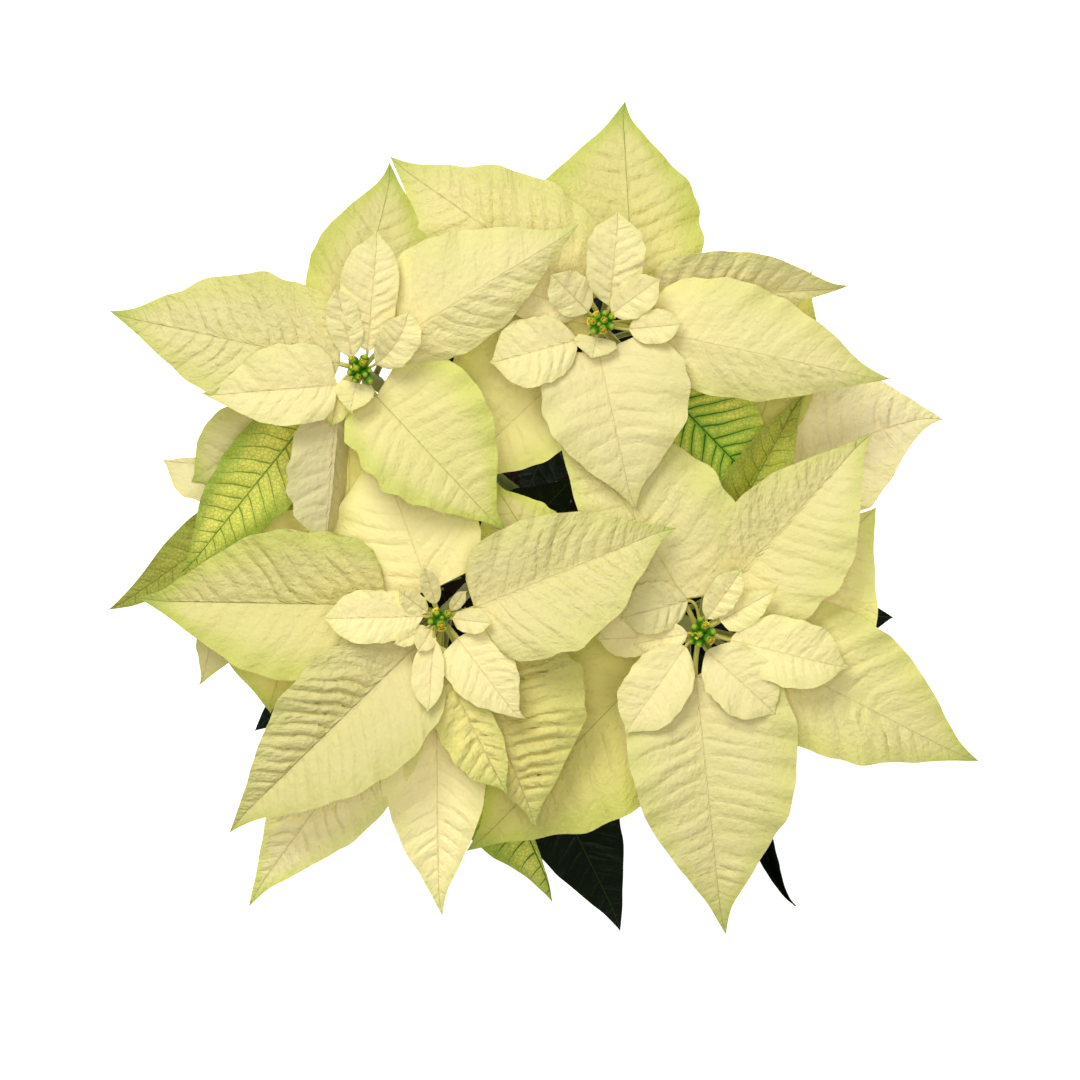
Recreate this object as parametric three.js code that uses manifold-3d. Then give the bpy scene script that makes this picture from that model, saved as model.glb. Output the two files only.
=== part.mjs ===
// A cream poinsettia with four flower heads, growing in a round nursery pot.
// Millimetres, +Z up. The origin is the middle of the pot's underside.
import * as THREE from "three";
import { mergeVertices } from "three/addons/utils/BufferGeometryUtils.js";
import Module from "manifold-3d";

const wasm = await Module();
wasm.setup();

// ---------------------------------------------------------------- driving dimensions

const GAP = 0.3; // between pieces that touch
const POT_HEIGHT = 128;
const POT_TOP_RADIUS = 76;
const POT_BASE_RADIUS = 55;
const POT_WALL = 2.4;
const POT_FLOOR = 3;
const RIM_HEIGHT = 20;
const RIM_STEP = 2.6; // how far the rim stands out from the wall below it
const POT_SEGMENTS = 30;
const DRAIN_HOLES = 6;
const DRAIN_HOLE_RADIUS = 4;
const DRAIN_CIRCLE_RADIUS = 38;

const SOIL_TOP = 112; // at the pot's wall
const SOIL_MOUND = 4; // how much higher the soil stands at the stem
const STEM_HOLE_FLOOR = 62;

const STEM_RADIUS = 6.5;
const STEM_TOP = 164; // where the grower pinched the main stem
const STUB_LENGTH = 15; // of the woody fork that each shoot grows from
const STUB_RADIUS = 4.4;
const SHOOT_RADIUS = 3.2;
const COLLAR_LENGTH = 5; // of a shoot's straight end, which its head stands on
const FORK_DEPTH = 16; // how far below the main stem's top the shoots' lines begin
// A shoot's line bends at these places: [share of its head's distance, share of its rise].
const SHOOT_BENDS = [
  [0.2, -0.016],
  [0.62, 0.3],
  [0.93, 0.7],
];

const CORE_LENGTH = 48; // of the thickened shoot end that a head's bracts grow from
const CORE_TOP = -9; // heights in a head are counted from the tops of its cyathia
const CORE_RADIUS = 3.6;

const BLADE_THICKNESS = 0.8;
const PETIOLE_RADIUS = 1.3;
const SMALL_PETIOLE_RADIUS = 0.8;
const PETIOLE_RISE = 2.5; // from a petiole's root to its blade, and more by the next share of its reach
const PETIOLE_SLOPE = 0.3;
const PETIOLE_BEND = 0.35; // of its length, which lies in line with the midrib
const LEAF_PETIOLE_RADIUS = 1.5;
const LEAST_HALF_WIDTH = 0.45; // at a blade's tip
const COLUMNS = [-1, 0, 1]; // across a blade, from its right edge to its left
const PETIOLE_PLACES = [0, 0.45, 0.9]; // of a petiole's rows, as shares of its length
const HEXAGON_SIDE = 0.87; // half the width of a petiole's section, as a share of its radius
const WAVES = 2.5; // ripples along a blade's edge, which start at a place of their own on each blade

const CUP_RADIUS = 2.3; // of one cyathium
const CUP_HEIGHT = 6; // above its stalk
const STALK_RADIUS = 0.9;
const CUP_SIDES = 6;
const CUP_SHOULDER = 0.4; // height of a cup's widest ring, as a share of its height
const CUP_MOUTH = 0.75; // radius of its mouth, as a share of its widest ring
const CUP_LEAN = 0.3; // how far out a cup's foot stands, as a share of its mouth's distance
const CUP_SPACING = 2.45;
const CUP_DROP = 0.03; // how much lower the outer cups stand, by the square of their distance
const CUP_START = 0.35; // the first cup's place in the row of square roots that spaces them
const GOLDEN_ANGLE = 137.5;
const DISC_HEIGHT = 1.6; // of the disc that the cups stand on

// ---------------------------------------------------------------- blade outlines

// Each outline has one row for each pair of side veins, from the base to the tip:
// [place on the midrib, place of the row's outer end, half width], as shares of length and width.
const OUTLINES = {
  ovate: [
    [0, 0, 0.05],
    [0.05, 0.03, 0.57],
    [0.14, 0.15, 0.93],
    [0.28, 0.36, 1],
    [0.45, 0.56, 0.85],
    [0.63, 0.75, 0.48],
    [0.82, 0.9, 0.15],
    [1, 1, 0],
  ],
  heart: [
    [0, -0.01, 0.05],
    [0.04, -0.06, 0.45],
    [0.12, 0.05, 0.86],
    [0.24, 0.25, 1],
    [0.41, 0.49, 0.88],
    [0.6, 0.71, 0.5],
    [0.81, 0.89, 0.13],
    [1, 1, 0],
  ],
  small: [
    [0, 0, 0.1],
    [0.12, 0.1, 0.6],
    [0.32, 0.38, 1],
    [0.56, 0.68, 0.88],
    [0.8, 0.9, 0.45],
    [1, 1, 0],
  ],
  leaf: [
    [0, -0.01, 0.05],
    [0.08, 0.02, 0.66],
    [0.25, 0.3, 1],
    [0.48, 0.58, 0.8],
    [0.74, 0.84, 0.31],
    [1, 1, 0],
  ],
};

// ---------------------------------------------------------------- the four flower heads

// A blade is given by its base and tip from the middle of its head, and its half widths
// to the left and right of the midrib, looking from the base to the tip. arch and bend are the
// midrib's bulge upwards and to the left, and tilt the rise of its left and right half in degrees.
// wave is how far its edges ripple, as a share of the half width.
const blade = (outline, base, tip, half, shape = {}) => ({
  outline,
  base,
  tip,
  half,
  arch: 0,
  bend: 0,
  tilt: [6, 6],
  wave: 0.05,
  ...shape,
});

const HEADS = [
  {
    at: [-82, 64, 345],
    cyathia: 10,
    bracts: [
      blade("ovate", [-13, 7, -15], [-116, 26, -24], [29, 32], { arch: 7 }),
      blade("ovate", [-11, -7, -12], [-73, -12, -13], [17, 21], { arch: 4 }),
      blade("ovate", [-8, 20, -26], [14, 94, -34], [25, 25], { arch: 5 }),
      blade("ovate", [10, 10, -14], [98, 67, -9], [32, 23], { arch: 9, tilt: [4, 12] }),
      blade("small", [3, 11, -12], [8, 64, -2], [12, 10], { arch: 3, tilt: [12, 12] }),
      blade("small", [-6, 9, -12], [-8, 37, 2], [7, 5], { tilt: [18, 18] }),
      blade("small", [7, 3, -12], [22, 27, 4], [10, 10], { arch: 3, bend: -3, tilt: [25, 10] }),
      blade("small", [-2, -8, -12], [-5, -19, -8], [8, 8]),
      blade("heart", [7, -12, -19], [64, -73, -25], [36, 33], { arch: 6, tilt: [4, 8] }),
      blade("ovate", [-15, -14, -24], [-16, -79, -26], [22, 25], { arch: 3, tilt: [-70, 12] }),
      blade("ovate", [-22, -16, -50], [-93, -50, -80], [28, 22], { arch: 4, wave: 0.12 }),
      blade("leaf", [-28, -25, -46], [-84, -94, -62], [21, 18], { arch: 5 }),
    ],
    leaves: [
      blade("leaf", [-20, -42, -88], [-121, -112, -106], [22, 20], { arch: 8, shoot: 0.6 }),
      blade("leaf", [-27, -8, -75], [-88, -4, -108], [24, 24], { arch: 6, shoot: 0.8 }),
      blade("leaf", [12, 24, -74], [18, 84, -114], [24, 24], { arch: 6, shoot: 0.84 }),
      blade("leaf", [30, 5, -86], [77, 20, -116], [22, 22], { arch: 6, shoot: 0.7 }),
      blade("leaf", [5, -25, -92], [15, -80, -116], [22, 22], { arch: 6, shoot: 0.72 }),
      blade("leaf", [20, -40, -134], [-54, -32, -176], [25, 25], { arch: 8, shoot: 0.35 }),
      blade("leaf", [24, -66, -142], [-44, -104, -190], [25, 25], { arch: 8, shoot: 0.42 }),
      blade("leaf", [50, -2, -130], [34, 68, -173], [24, 24], { arch: 8, shoot: 0.45 }),
    ],
  },
  {
    at: [28, 86, 338],
    cyathia: 9,
    bracts: [
      blade("ovate", [-6, 11, -26], [-98, 76, -29], [36, 34], { arch: 5 }),
      blade("heart", [15, 17, -32], [10, 103, -42], [45, 33], { arch: 6 }),
      blade("ovate", [23, 11, -27], [112, 15, -38], [28, 20], { arch: 8, tilt: [38, -20] }),
      blade("ovate", [15, 1, -16], [128, -25, -22], [32, 27], { arch: 9 }),
      blade("small", [8, -4, -12], [37, -1, -4], [8, 8], { arch: 2 }),
      blade("heart", [-1, -14, -14], [16, -84, -20], [38, 30], { arch: 6 }),
      blade("small", [-11, -8, -12], [-51, -19, -10], [16, 16], { arch: 4 }),
      blade("small", [4, 8, -12], [8, 51, -2], [12, 13], { arch: 3, tilt: [14, 14] }),
      blade("small", [-6, 5, -12], [-23, 22, 0], [8, 8], { tilt: [16, 16] }),
      blade("small", [-9, 5, -15], [-53, 21, -17], [12, 14], { arch: 3 }),
      blade("small", [5, 4, -12], [25, 18, 0], [7, 8], { tilt: [16, 16] }),
      blade("small", [-2, -7, -12], [-5, -16, -8], [8, 8]),
      blade("heart", [-12, -18, -38], [-75, -77, -46], [23, 38], { arch: 5 }),
      blade("leaf", [20, -20, -49], [79, -80, -59], [33, 27], { arch: 5 }),
      blade("leaf", [22, 2, -46], [103, -3, -46], [24, 18], { arch: 4 }),
    ],
    leaves: [
      blade("leaf", [5, 26, -76], [8, 90, -112], [24, 24], { arch: 6, shoot: 0.84 }),
      blade("leaf", [-22, 18, -74], [-76, 60, -106], [24, 24], { arch: 6, shoot: 0.8 }),
      blade("leaf", [28, -4, -84], [100, -44, -114], [25, 25], { arch: 6, shoot: 0.74 }),
      blade("leaf", [-10, -25, -84], [-36, -80, -122], [22, 22], { arch: 6, shoot: 0.66 }),
      blade("leaf", [-6, -24, -133], [-6, 56, -176], [25, 25], { arch: 8, shoot: 0.38 }),
      blade("leaf", [20, -41, -130], [84, 4, -170], [25, 25], { arch: 8, shoot: 0.42 }),
    ],
  },
  {
    at: [-46, -50, 332],
    cyathia: 5,
    bracts: [
      blade("ovate", [12, 3, -12], [104, 40, -12], [29, 35], { arch: 7 }),
      blade("ovate", [-25, 6, -20], [-140, 8, -34], [38, 35], { arch: 7, tilt: [10, -4] }),
      blade("heart", [-4, 9, -18], [-30, 82, -26], [43, 36], { arch: 5 }),
      blade("ovate", [-10, -12, -15], [-97, -98, -24], [34, 30], { arch: 9, tilt: [8, 2] }),
      blade("ovate", [-18, -33, -34], [-89, -133, -54], [25, 24], { arch: 5 }),
      blade("ovate", [-2, -33, -30], [0, -136, -52], [25, 25], { arch: 6 }),
      blade("small", [-10, 1, -12], [-54, 0, -9], [11, 13], { arch: 3 }),
      blade("small", [8, -7, -12], [36, -46, -12], [17, 15], { arch: 3 }),
      blade("ovate", [1, -12, -17], [32, -79, -31], [15, 17], { bend: -3, tilt: [14, 4], wave: 0.12 }),
      blade("ovate", [9, -19, -24], [45, -98, -44], [29, 22], { arch: 5, bend: 13, wave: 0.1 }),
      blade("small", [-2, 7, -12], [-7, 24, 4], [4.5, 4.5], { tilt: [20, 20] }),
      blade("small", [-6, 3, -12], [-19, 13, 0], [5, 5], { tilt: [16, 16] }),
      blade("small", [-6, -4, -12], [-21, -12, -1], [4, 4], { tilt: [16, 16] }),
      blade("small", [-4, -5, -12], [-10, -15, -3], [5, 5]),
      blade("small", [-4, -10, -12], [-5, -43, -8], [5, 8]),
      blade("small", [6, 0, -12], [25, 0, -1], [3.5, 5], { tilt: [16, 16] }),
      blade("small", [5, 4, -12], [12, 13, 2], [3, 3], { tilt: [16, 16] }),
      blade("ovate", [-40, 6, -42], [-111, -30, -60], [11, 26], { arch: 4 }),
      blade("leaf", [6, -40, -52], [51, -131, -84], [20, 24], { arch: 5 }),
    ],
    leaves: [
      blade("leaf", [-25, -12, -78], [-84, -46, -106], [22, 22], { arch: 6, shoot: 0.78 }),
      blade("leaf", [38, -50, -84], [84, -149, -122], [28, 22], { arch: 9, shoot: 0.7 }),
      blade("leaf", [-26, 6, -72], [-106, 10, -100], [24, 24], { arch: 6, shoot: 0.86 }),
      blade("leaf", [-18, -20, -72], [-72, -82, -114], [24, 24], { arch: 6, shoot: 0.82 }),
      blade("leaf", [0, -30, -74], [-2, -96, -118], [22, 22], { arch: 6, shoot: 0.74 }),
      blade("leaf", [14, 14, -78], [62, 66, -96], [24, 24], { arch: 5, shoot: 0.8 }),
      blade("leaf", [-4, 14, -127], [-72, -34, -170], [25, 25], { arch: 8, shoot: 0.4 }),
      blade("leaf", [16, -8, -132], [-12, -82, -176], [25, 25], { arch: 8, shoot: 0.36 }),
    ],
  },
  {
    at: [74, -57, 325],
    cyathia: 9,
    bracts: [
      blade("heart", [-6, 13, -18], [-73, 105, -14], [28, 42], { arch: 5 }),
      blade("ovate", [8, 16, -22], [78, 93, -12], [22, 37], { arch: 6, tilt: [0, 10] }),
      blade("ovate", [22, -6, -24], [127, -59, -42], [38, 30], { arch: 9 }),
      blade("small", [9, -2, -12], [68, -16, -12], [17, 15], { arch: 5 }),
      blade("heart", [-2, -20, -18], [10, -138, -40], [42, 38], { arch: 9 }),
      blade("small", [-7, -6, -12], [-35, -46, -12], [15, 15], { arch: 3 }),
      blade("small", [3, -8, -12], [35, -37, -11], [16, 15], { arch: 3 }),
      blade("small", [5, 4, -12], [35, 21, -3], [8, 8], { tilt: [12, 12] }),
      blade("small", [3, 7, -12], [19, 30, 0], [8, 7], { tilt: [14, 14] }),
      blade("small", [-6, 0, -12], [-30, -5, -7], [6, 6], { tilt: [10, 10] }),
      blade("small", [-15, -3, -16], [-49, -7, -18], [12, 12], { arch: 2 }),
      blade("ovate", [-19, -12, -42], [-103, -97, -50], [38, 37], { arch: 5 }),
      blade("ovate", [16, 12, -34], [84, 62, -38], [25, 42], { arch: 4 }),
      blade("ovate", [24, 60, -55], [111, 102, -46], [31, 33], { arch: 5, bend: 10 }),
      blade("leaf", [12, 45, -40], [48, 112, -34], [20, 20], { tilt: [45, 45] }),
    ],
    leaves: [
      blade("leaf", [24, -50, -72], [42, -132, -112], [22, 22], { tilt: [74, 74], shoot: 0.8 }),
      blade("leaf", [30, -2, -80], [93, 8, -96], [22, 22], { arch: 6, shoot: 0.74 }),
      blade("leaf", [28, -14, -72], [100, -46, -112], [24, 24], { arch: 8, shoot: 0.86 }),
      blade("leaf", [-4, -30, -74], [-2, -106, -116], [24, 24], { arch: 8, shoot: 0.82 }),
      blade("leaf", [12, 22, -80], [55, 72, -108], [22, 22], { arch: 6, shoot: 0.7 }),
      blade("leaf", [-28, 5, -84], [-80, 5, -112], [22, 22], { arch: 6, shoot: 0.66 }),
      blade("leaf", [-64, 2, -120], [-62, -71, -165], [24, 24], { arch: 8, shoot: 0.4 }),
      blade("leaf", [-26, 4, -127], [17, -62, -171], [24, 24], { arch: 8, shoot: 0.36 }),
      blade("leaf", [-12, 29, -120], [60, -7, -161], [25, 25], { arch: 8, shoot: 0.42 }),
      blade("leaf", [-12, 61, -113], [66, 59, -149], [24, 24], { arch: 8, shoot: 0.46 }),
    ],
  },
];

// ---------------------------------------------------------------- helpers

const UP = new THREE.Vector3(0, 0, 1);
const radians = THREE.MathUtils.degToRad;

// A geometry's triangles as a solid that can be joined and cut.
function solid(geometry) {
  geometry.deleteAttribute("normal");
  geometry.deleteAttribute("uv");
  const merged = mergeVertices(geometry, 1e-4);
  const corners = merged.index.array;
  const kept = [];
  for (let i = 0; i < corners.length; i += 3) {
    const [a, b, c] = corners.slice(i, i + 3);
    if (a !== b && b !== c && c !== a) kept.push(a, b, c);
  }
  return new wasm.Manifold(
    new wasm.Mesh({
      numProp: 3,
      vertProperties: merged.attributes.position.array,
      triVerts: new Uint32Array(kept),
    }),
  );
}

function geometryOf(manifold) {
  const made = manifold.getMesh();
  const geometry = new THREE.BufferGeometry();
  geometry.setAttribute("position", new THREE.BufferAttribute(made.vertProperties, 3));
  geometry.setIndex(new THREE.BufferAttribute(made.triVerts, 1));
  geometry.computeVertexNormals();
  return geometry;
}

const joined = (solids) => solids.reduce((whole, next) => whole.add(next));

// A round bar along a curve, with flat ends.
function bar(curve, radius, sides, steps) {
  const section = new THREE.Shape();
  for (let i = 0; i < sides; i += 1) {
    const angle = (2 * Math.PI * i) / sides;
    const corner = [radius * Math.cos(angle), radius * Math.sin(angle)];
    if (i === 0) section.moveTo(...corner);
    else section.lineTo(...corner);
  }
  section.closePath();
  return solid(new THREE.ExtrudeGeometry(section, { steps, extrudePath: curve, bevelEnabled: false }));
}

// ---------------------------------------------------------------- blades

// The midrib is a cubic curve from the base to the tip, bulging by arch and bend.
function midribOf({ base, tip, arch, bend }) {
  const start = new THREE.Vector3(...base);
  const end = new THREE.Vector3(...tip);
  const along = end.clone().sub(start);
  const left = UP.clone().cross(along).normalize();
  const bulge = UP.clone().multiplyScalar(arch / 0.75).addScaledVector(left, bend / 0.75);
  const first = start.clone().addScaledVector(along, 1 / 3).add(bulge);
  const second = start.clone().addScaledVector(along, 2 / 3).add(bulge);
  return new THREE.CubicBezierCurve3(start, first, second, end);
}

// The left and the normal of a curve at a point on it.
function frameOf(tangent) {
  const left = UP.clone().cross(tangent).normalize();
  return { left, normal: tangent.clone().cross(left) };
}

// The petiole's rows: six-sided sections along a curve that leaves the root and meets the midrib.
function petioleRows(root, midrib, radius) {
  const base = midrib.getPoint(0);
  const approach = base.clone().addScaledVector(midrib.getTangent(0), -PETIOLE_BEND * root.distanceTo(base));
  const curve = new THREE.QuadraticBezierCurve3(root, approach, base);
  return PETIOLE_PLACES.map((place) => {
    const { left, normal } = frameOf(curve.getTangent(place));
    return COLUMNS.map((column) => {
      const point = curve.getPoint(place).addScaledVector(left, HEXAGON_SIDE * radius * column);
      return { point, rise: normal, half: column === 0 ? radius : radius / 2 };
    });
  });
}

// The blade's rows, which slant forward along its side veins.
function bladeRows(spec, midrib) {
  const length = midrib.getLength();
  return OUTLINES[spec.outline].map(([midribPlace, endPlace, share]) =>
    COLUMNS.map((column) => {
      const reach = Math.abs(column);
      const side = column > 0 ? 0 : 1;
      const place = midribPlace + (endPlace - midribPlace) * reach;
      const inside = THREE.MathUtils.clamp(place, 0, 1);
      const tangent = midrib.getTangent(inside);
      const { left, normal } = frameOf(tangent);
      const width = reach * Math.max(share * spec.half[side], LEAST_HALF_WIDTH);
      const tilt = reach * radians(spec.tilt[side]);
      const outward = left.multiplyScalar(side === 0 ? 1 : -1);
      const point = midrib.getPoint(inside).addScaledVector(tangent, (place - inside) * length);
      point.addScaledVector(outward, Math.cos(tilt) * width).addScaledVector(normal, Math.sin(tilt) * width);
      const phase = spec.half[0] + spec.half[1] + spec.tip[2] - spec.base[2] + 2 * side;
      const ripple = spec.wave * width * Math.sin(2 * Math.PI * WAVES * midribPlace + phase);
      point.addScaledVector(normal, ripple);
      const rise = normal.multiplyScalar(Math.cos(tilt)).addScaledVector(outward, -Math.sin(tilt));
      return { point, rise, half: BLADE_THICKNESS / 2 };
    }),
  );
}

// A petiole and its blade as one thin solid. Both faces are split into triangles alike,
// and a wall closes them round the edge.
function bladeSolid(spec, root, radius) {
  const midrib = midribOf(spec);
  const rows = [...petioleRows(root, midrib, radius), ...bladeRows(spec, midrib)];
  const grid = rows.flat();
  const upper = grid.map(({ point, rise, half }) => point.clone().addScaledVector(rise, half));
  const lower = grid.map(({ point, rise, half }) => point.clone().addScaledVector(rise, -half));

  const wide = COLUMNS.length;
  const under = grid.length;
  const index = [];
  const quad = (a, b, c, d) => index.push(a, b, c, a, c, d);
  for (let r = 0; r + 1 < rows.length; r += 1) {
    for (let c = 0; c + 1 < wide; c += 1) {
      const a = r * wide + c;
      const b = a + 1;
      const far = a + wide;
      index.push(a, far, b, b, far, far + 1);
      index.push(under + a, under + b, under + far, under + b, under + far + 1, under + far);
    }
    const right = r * wide;
    const left = right + wide - 1;
    quad(right, under + right, under + right + wide, right + wide);
    quad(left + wide, under + left + wide, under + left, left);
  }
  for (let c = 0; c + 1 < wide; c += 1) {
    const tip = (rows.length - 1) * wide + c;
    quad(c + 1, under + c + 1, under + c, c);
    quad(tip, under + tip, under + tip + 1, tip + 1);
  }

  const geometry = new THREE.BufferGeometry();
  const points = [...upper, ...lower].flatMap((point) => point.toArray());
  geometry.setAttribute("position", new THREE.Float32BufferAttribute(points, 3));
  geometry.setIndex(index);
  return solid(geometry);
}

// ---------------------------------------------------------------- stems

const headPoint = (head, height) => new THREE.Vector3(head.at[0], head.at[1], head.at[2] + height);

// The line of a shoot, from the main stem's axis to the underside of its head's core.
function shootPath(head) {
  const [x, y] = head.at;
  const end = headPoint(head, CORE_TOP - CORE_LENGTH - GAP);
  const rise = end.z - STEM_TOP;
  return new THREE.CatmullRomCurve3([
    new THREE.Vector3(0, 0, STEM_TOP - FORK_DEPTH),
    ...SHOOT_BENDS.map(([out, up]) => new THREE.Vector3(out * x, out * y, STEM_TOP + up * rise)),
    end,
  ]);
}

// The stretch of a curve between two distances from its start.
function stretch(curve, from, to, points) {
  const length = curve.getLength();
  const places = Array.from({ length: points }, (_, i) => from + ((to - from) * i) / (points - 1));
  return new THREE.CatmullRomCurve3(places.map((place) => curve.getPointAt(place / length)));
}

function mainStem() {
  const foot = new THREE.Vector3(0, 0, STEM_HOLE_FLOOR + GAP);
  const top = new THREE.Vector3(0, 0, STEM_TOP);
  const post = bar(new THREE.LineCurve3(foot, top), STEM_RADIUS, 10, 1);
  const stubs = HEADS.map((head) => bar(stretch(shootPath(head), 0, STUB_LENGTH, 3), STUB_RADIUS, 8, 3));
  return joined([post, ...stubs]);
}

function leafyShoot(head) {
  const path = shootPath(head);
  const length = path.getLength();
  const end = path.getPointAt(1);
  const collarFoot = end.clone().addScaledVector(UP, -COLLAR_LENGTH);
  const collar = bar(new THREE.LineCurve3(collarFoot, end), CORE_RADIUS, 8, 1);
  const shoot = bar(stretch(path, STUB_LENGTH + GAP, length - 0.5 * COLLAR_LENGTH, 5), SHOOT_RADIUS, 8, 6);
  const leaves = head.leaves.map((leaf) =>
    bladeSolid(placed(leaf, head), path.getPointAt(leaf.shoot), LEAF_PETIOLE_RADIUS),
  );
  return joined([shoot, collar, ...leaves]);
}

// ---------------------------------------------------------------- flower heads

// A blade's base and tip, moved from its head's frame to the plant's.
function placed(spec, head) {
  const moved = (point) => point.map((value, axis) => value + head.at[axis]);
  return { ...spec, base: moved(spec.base), tip: moved(spec.tip) };
}

function rosette(head) {
  const foot = headPoint(head, CORE_TOP - CORE_LENGTH);
  const top = headPoint(head, CORE_TOP);
  const core = bar(new THREE.LineCurve3(foot, top), CORE_RADIUS, 8, 1);
  const lowestRoot = foot.z + CORE_RADIUS;
  const bracts = head.bracts.map((bract) => {
    const spec = placed(bract, head);
    const spread = Math.hypot(bract.base[0], bract.base[1]);
    const height = Math.max(spec.base[2] - PETIOLE_RISE - PETIOLE_SLOPE * spread, lowestRoot);
    const root = new THREE.Vector3(head.at[0], head.at[1], height);
    const radius = bract.outline === "small" ? SMALL_PETIOLE_RADIUS : PETIOLE_RADIUS;
    return bladeSolid(spec, root, radius);
  });
  return joined([core, ...bracts]);
}

// One cup flower on its stalk: a small barrel, narrower at its mouth and foot.
function cyathium(foot, mouth) {
  const height = mouth.distanceTo(foot);
  const profile = [
    [0, 0],
    [STALK_RADIUS, 0],
    [CUP_RADIUS, height - (1 - CUP_SHOULDER) * CUP_HEIGHT],
    [CUP_MOUTH * CUP_RADIUS, height],
    [0, height],
  ];
  const cup = lathe(profile, CUP_SIDES);
  const lean = mouth.clone().sub(foot).normalize();
  const turn = new THREE.Matrix4().makeRotationFromQuaternion(
    new THREE.Quaternion().setFromUnitVectors(UP, lean),
  );
  return cup.transform(turn.setPosition(foot).elements);
}

// The cups stand on one disc, turned by the golden angle from one to the next, and each cluster
// starts at an angle of its own.
function cyathiumCluster(head) {
  const discFoot = headPoint(head, CORE_TOP + GAP);
  const discTop = headPoint(head, CORE_TOP + GAP + DISC_HEIGHT);
  const disc = bar(new THREE.LineCurve3(discFoot, discTop), CORE_RADIUS, 8, 1);
  const cups = Array.from({ length: head.cyathia }, (_, i) => {
    const angle = radians(GOLDEN_ANGLE) * i + head.at[0];
    const spread = CUP_SPACING * Math.sqrt(i + CUP_START);
    const mouth = headPoint(head, -CUP_DROP * spread * spread);
    mouth.x += spread * Math.cos(angle);
    mouth.y += spread * Math.sin(angle);
    const foot = discTop.clone().lerp(mouth, CUP_LEAN);
    foot.z = discFoot.z + DISC_HEIGHT / 2;
    return cyathium(foot, mouth);
  });
  return joined([disc, ...cups]);
}

// ---------------------------------------------------------------- pot and soil

// The pot's inner radius at a height.
const potSlope = (POT_TOP_RADIUS - RIM_STEP - POT_BASE_RADIUS) / POT_HEIGHT;
const innerRadius = (height) => POT_BASE_RADIUS - POT_WALL + potSlope * height;

// A profile of [radius, height] points turned about the Z axis.
function lathe(profile, segments) {
  const outline = profile.map(([radius, height]) => new THREE.Vector2(radius, height));
  return solid(new THREE.LatheGeometry(outline, segments).rotateX(Math.PI / 2));
}

function pot() {
  const rimFoot = POT_HEIGHT - RIM_HEIGHT;
  const wallRadius = (height) => innerRadius(height) + POT_WALL;
  const body = lathe(
    [
      [0, 0],
      [POT_BASE_RADIUS - 2, 0],
      [POT_BASE_RADIUS, 2],
      [wallRadius(rimFoot), rimFoot],
      [POT_TOP_RADIUS - 0.8, rimFoot],
      [POT_TOP_RADIUS, POT_HEIGHT - 1],
      [POT_TOP_RADIUS - 1, POT_HEIGHT],
      [innerRadius(POT_HEIGHT), POT_HEIGHT],
      [innerRadius(POT_FLOOR + 2), POT_FLOOR + 2],
      [innerRadius(POT_FLOOR) - 2, POT_FLOOR],
      [0, POT_FLOOR],
    ],
    POT_SEGMENTS,
  );
  const holes = Array.from({ length: DRAIN_HOLES }, (_, i) => {
    const angle = (2 * Math.PI * i) / DRAIN_HOLES;
    const hole = new THREE.CylinderGeometry(DRAIN_HOLE_RADIUS, DRAIN_HOLE_RADIUS, 4 * POT_FLOOR, 8);
    hole.rotateX(Math.PI / 2);
    hole.translate(DRAIN_CIRCLE_RADIUS * Math.cos(angle), DRAIN_CIRCLE_RADIUS * Math.sin(angle), 0);
    return solid(hole);
  });
  return holes.reduce((whole, hole) => whole.subtract(hole), body);
}

function soil() {
  const outer = (height) => innerRadius(height) - GAP;
  const floor = POT_FLOOR + GAP;
  const mound = lathe(
    [
      [0, floor],
      [outer(floor) - 2.4, floor],
      [outer(floor + 2.4), floor + 2.4],
      [outer(SOIL_TOP), SOIL_TOP],
      [0.72 * outer(SOIL_TOP), SOIL_TOP + 0.5 * SOIL_MOUND],
      [0.4 * outer(SOIL_TOP), SOIL_TOP + 0.8 * SOIL_MOUND],
      [0, SOIL_TOP + SOIL_MOUND],
    ],
    POT_SEGMENTS,
  );
  const hole = new THREE.CylinderGeometry(STEM_RADIUS + GAP, STEM_RADIUS + GAP, 2 * STEM_TOP, 10);
  hole.rotateX(Math.PI / 2);
  hole.translate(0, 0, STEM_HOLE_FLOOR + STEM_TOP);
  return mound.subtract(solid(hole));
}

// ---------------------------------------------------------------- the part

const MATERIALS = {
  bract: new THREE.MeshStandardMaterial({ color: 0xefe3a4, roughness: 0.62, metalness: 0 }),
  leaf: new THREE.MeshStandardMaterial({ color: 0x2c4a26, roughness: 0.5, metalness: 0 }),
  cyathium: new THREE.MeshStandardMaterial({ color: 0x9aa52a, roughness: 0.45, metalness: 0 }),
  bark: new THREE.MeshStandardMaterial({ color: 0x8a7350, roughness: 0.85, metalness: 0 }),
  soil: new THREE.MeshStandardMaterial({ color: 0x3a2a1e, roughness: 0.97, metalness: 0 }),
  pot: new THREE.MeshStandardMaterial({ color: 0xb2613f, roughness: 0.55, metalness: 0 }),
};

const poinsettia = new THREE.Group();

function addPiece(name, manifold, material) {
  const piece = new THREE.Mesh(geometryOf(manifold), MATERIALS[material]);
  piece.name = name;
  poinsettia.add(piece);
}

addPiece("pot", pot(), "pot");
addPiece("soil", soil(), "soil");
addPiece("main_stem", mainStem(), "bark");
HEADS.forEach((head, i) => {
  addPiece(`leafy_shoot_${i + 1}`, leafyShoot(head), "leaf");
  addPiece(`bracts_${i + 1}`, rosette(head), "bract");
  addPiece(`cyathia_${i + 1}`, cyathiumCluster(head), "cyathium");
});

export default poinsettia;
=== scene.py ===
"""A cream poinsettia in a nursery pot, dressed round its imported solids. Metres, +Z up."""
import math
import random

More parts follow.
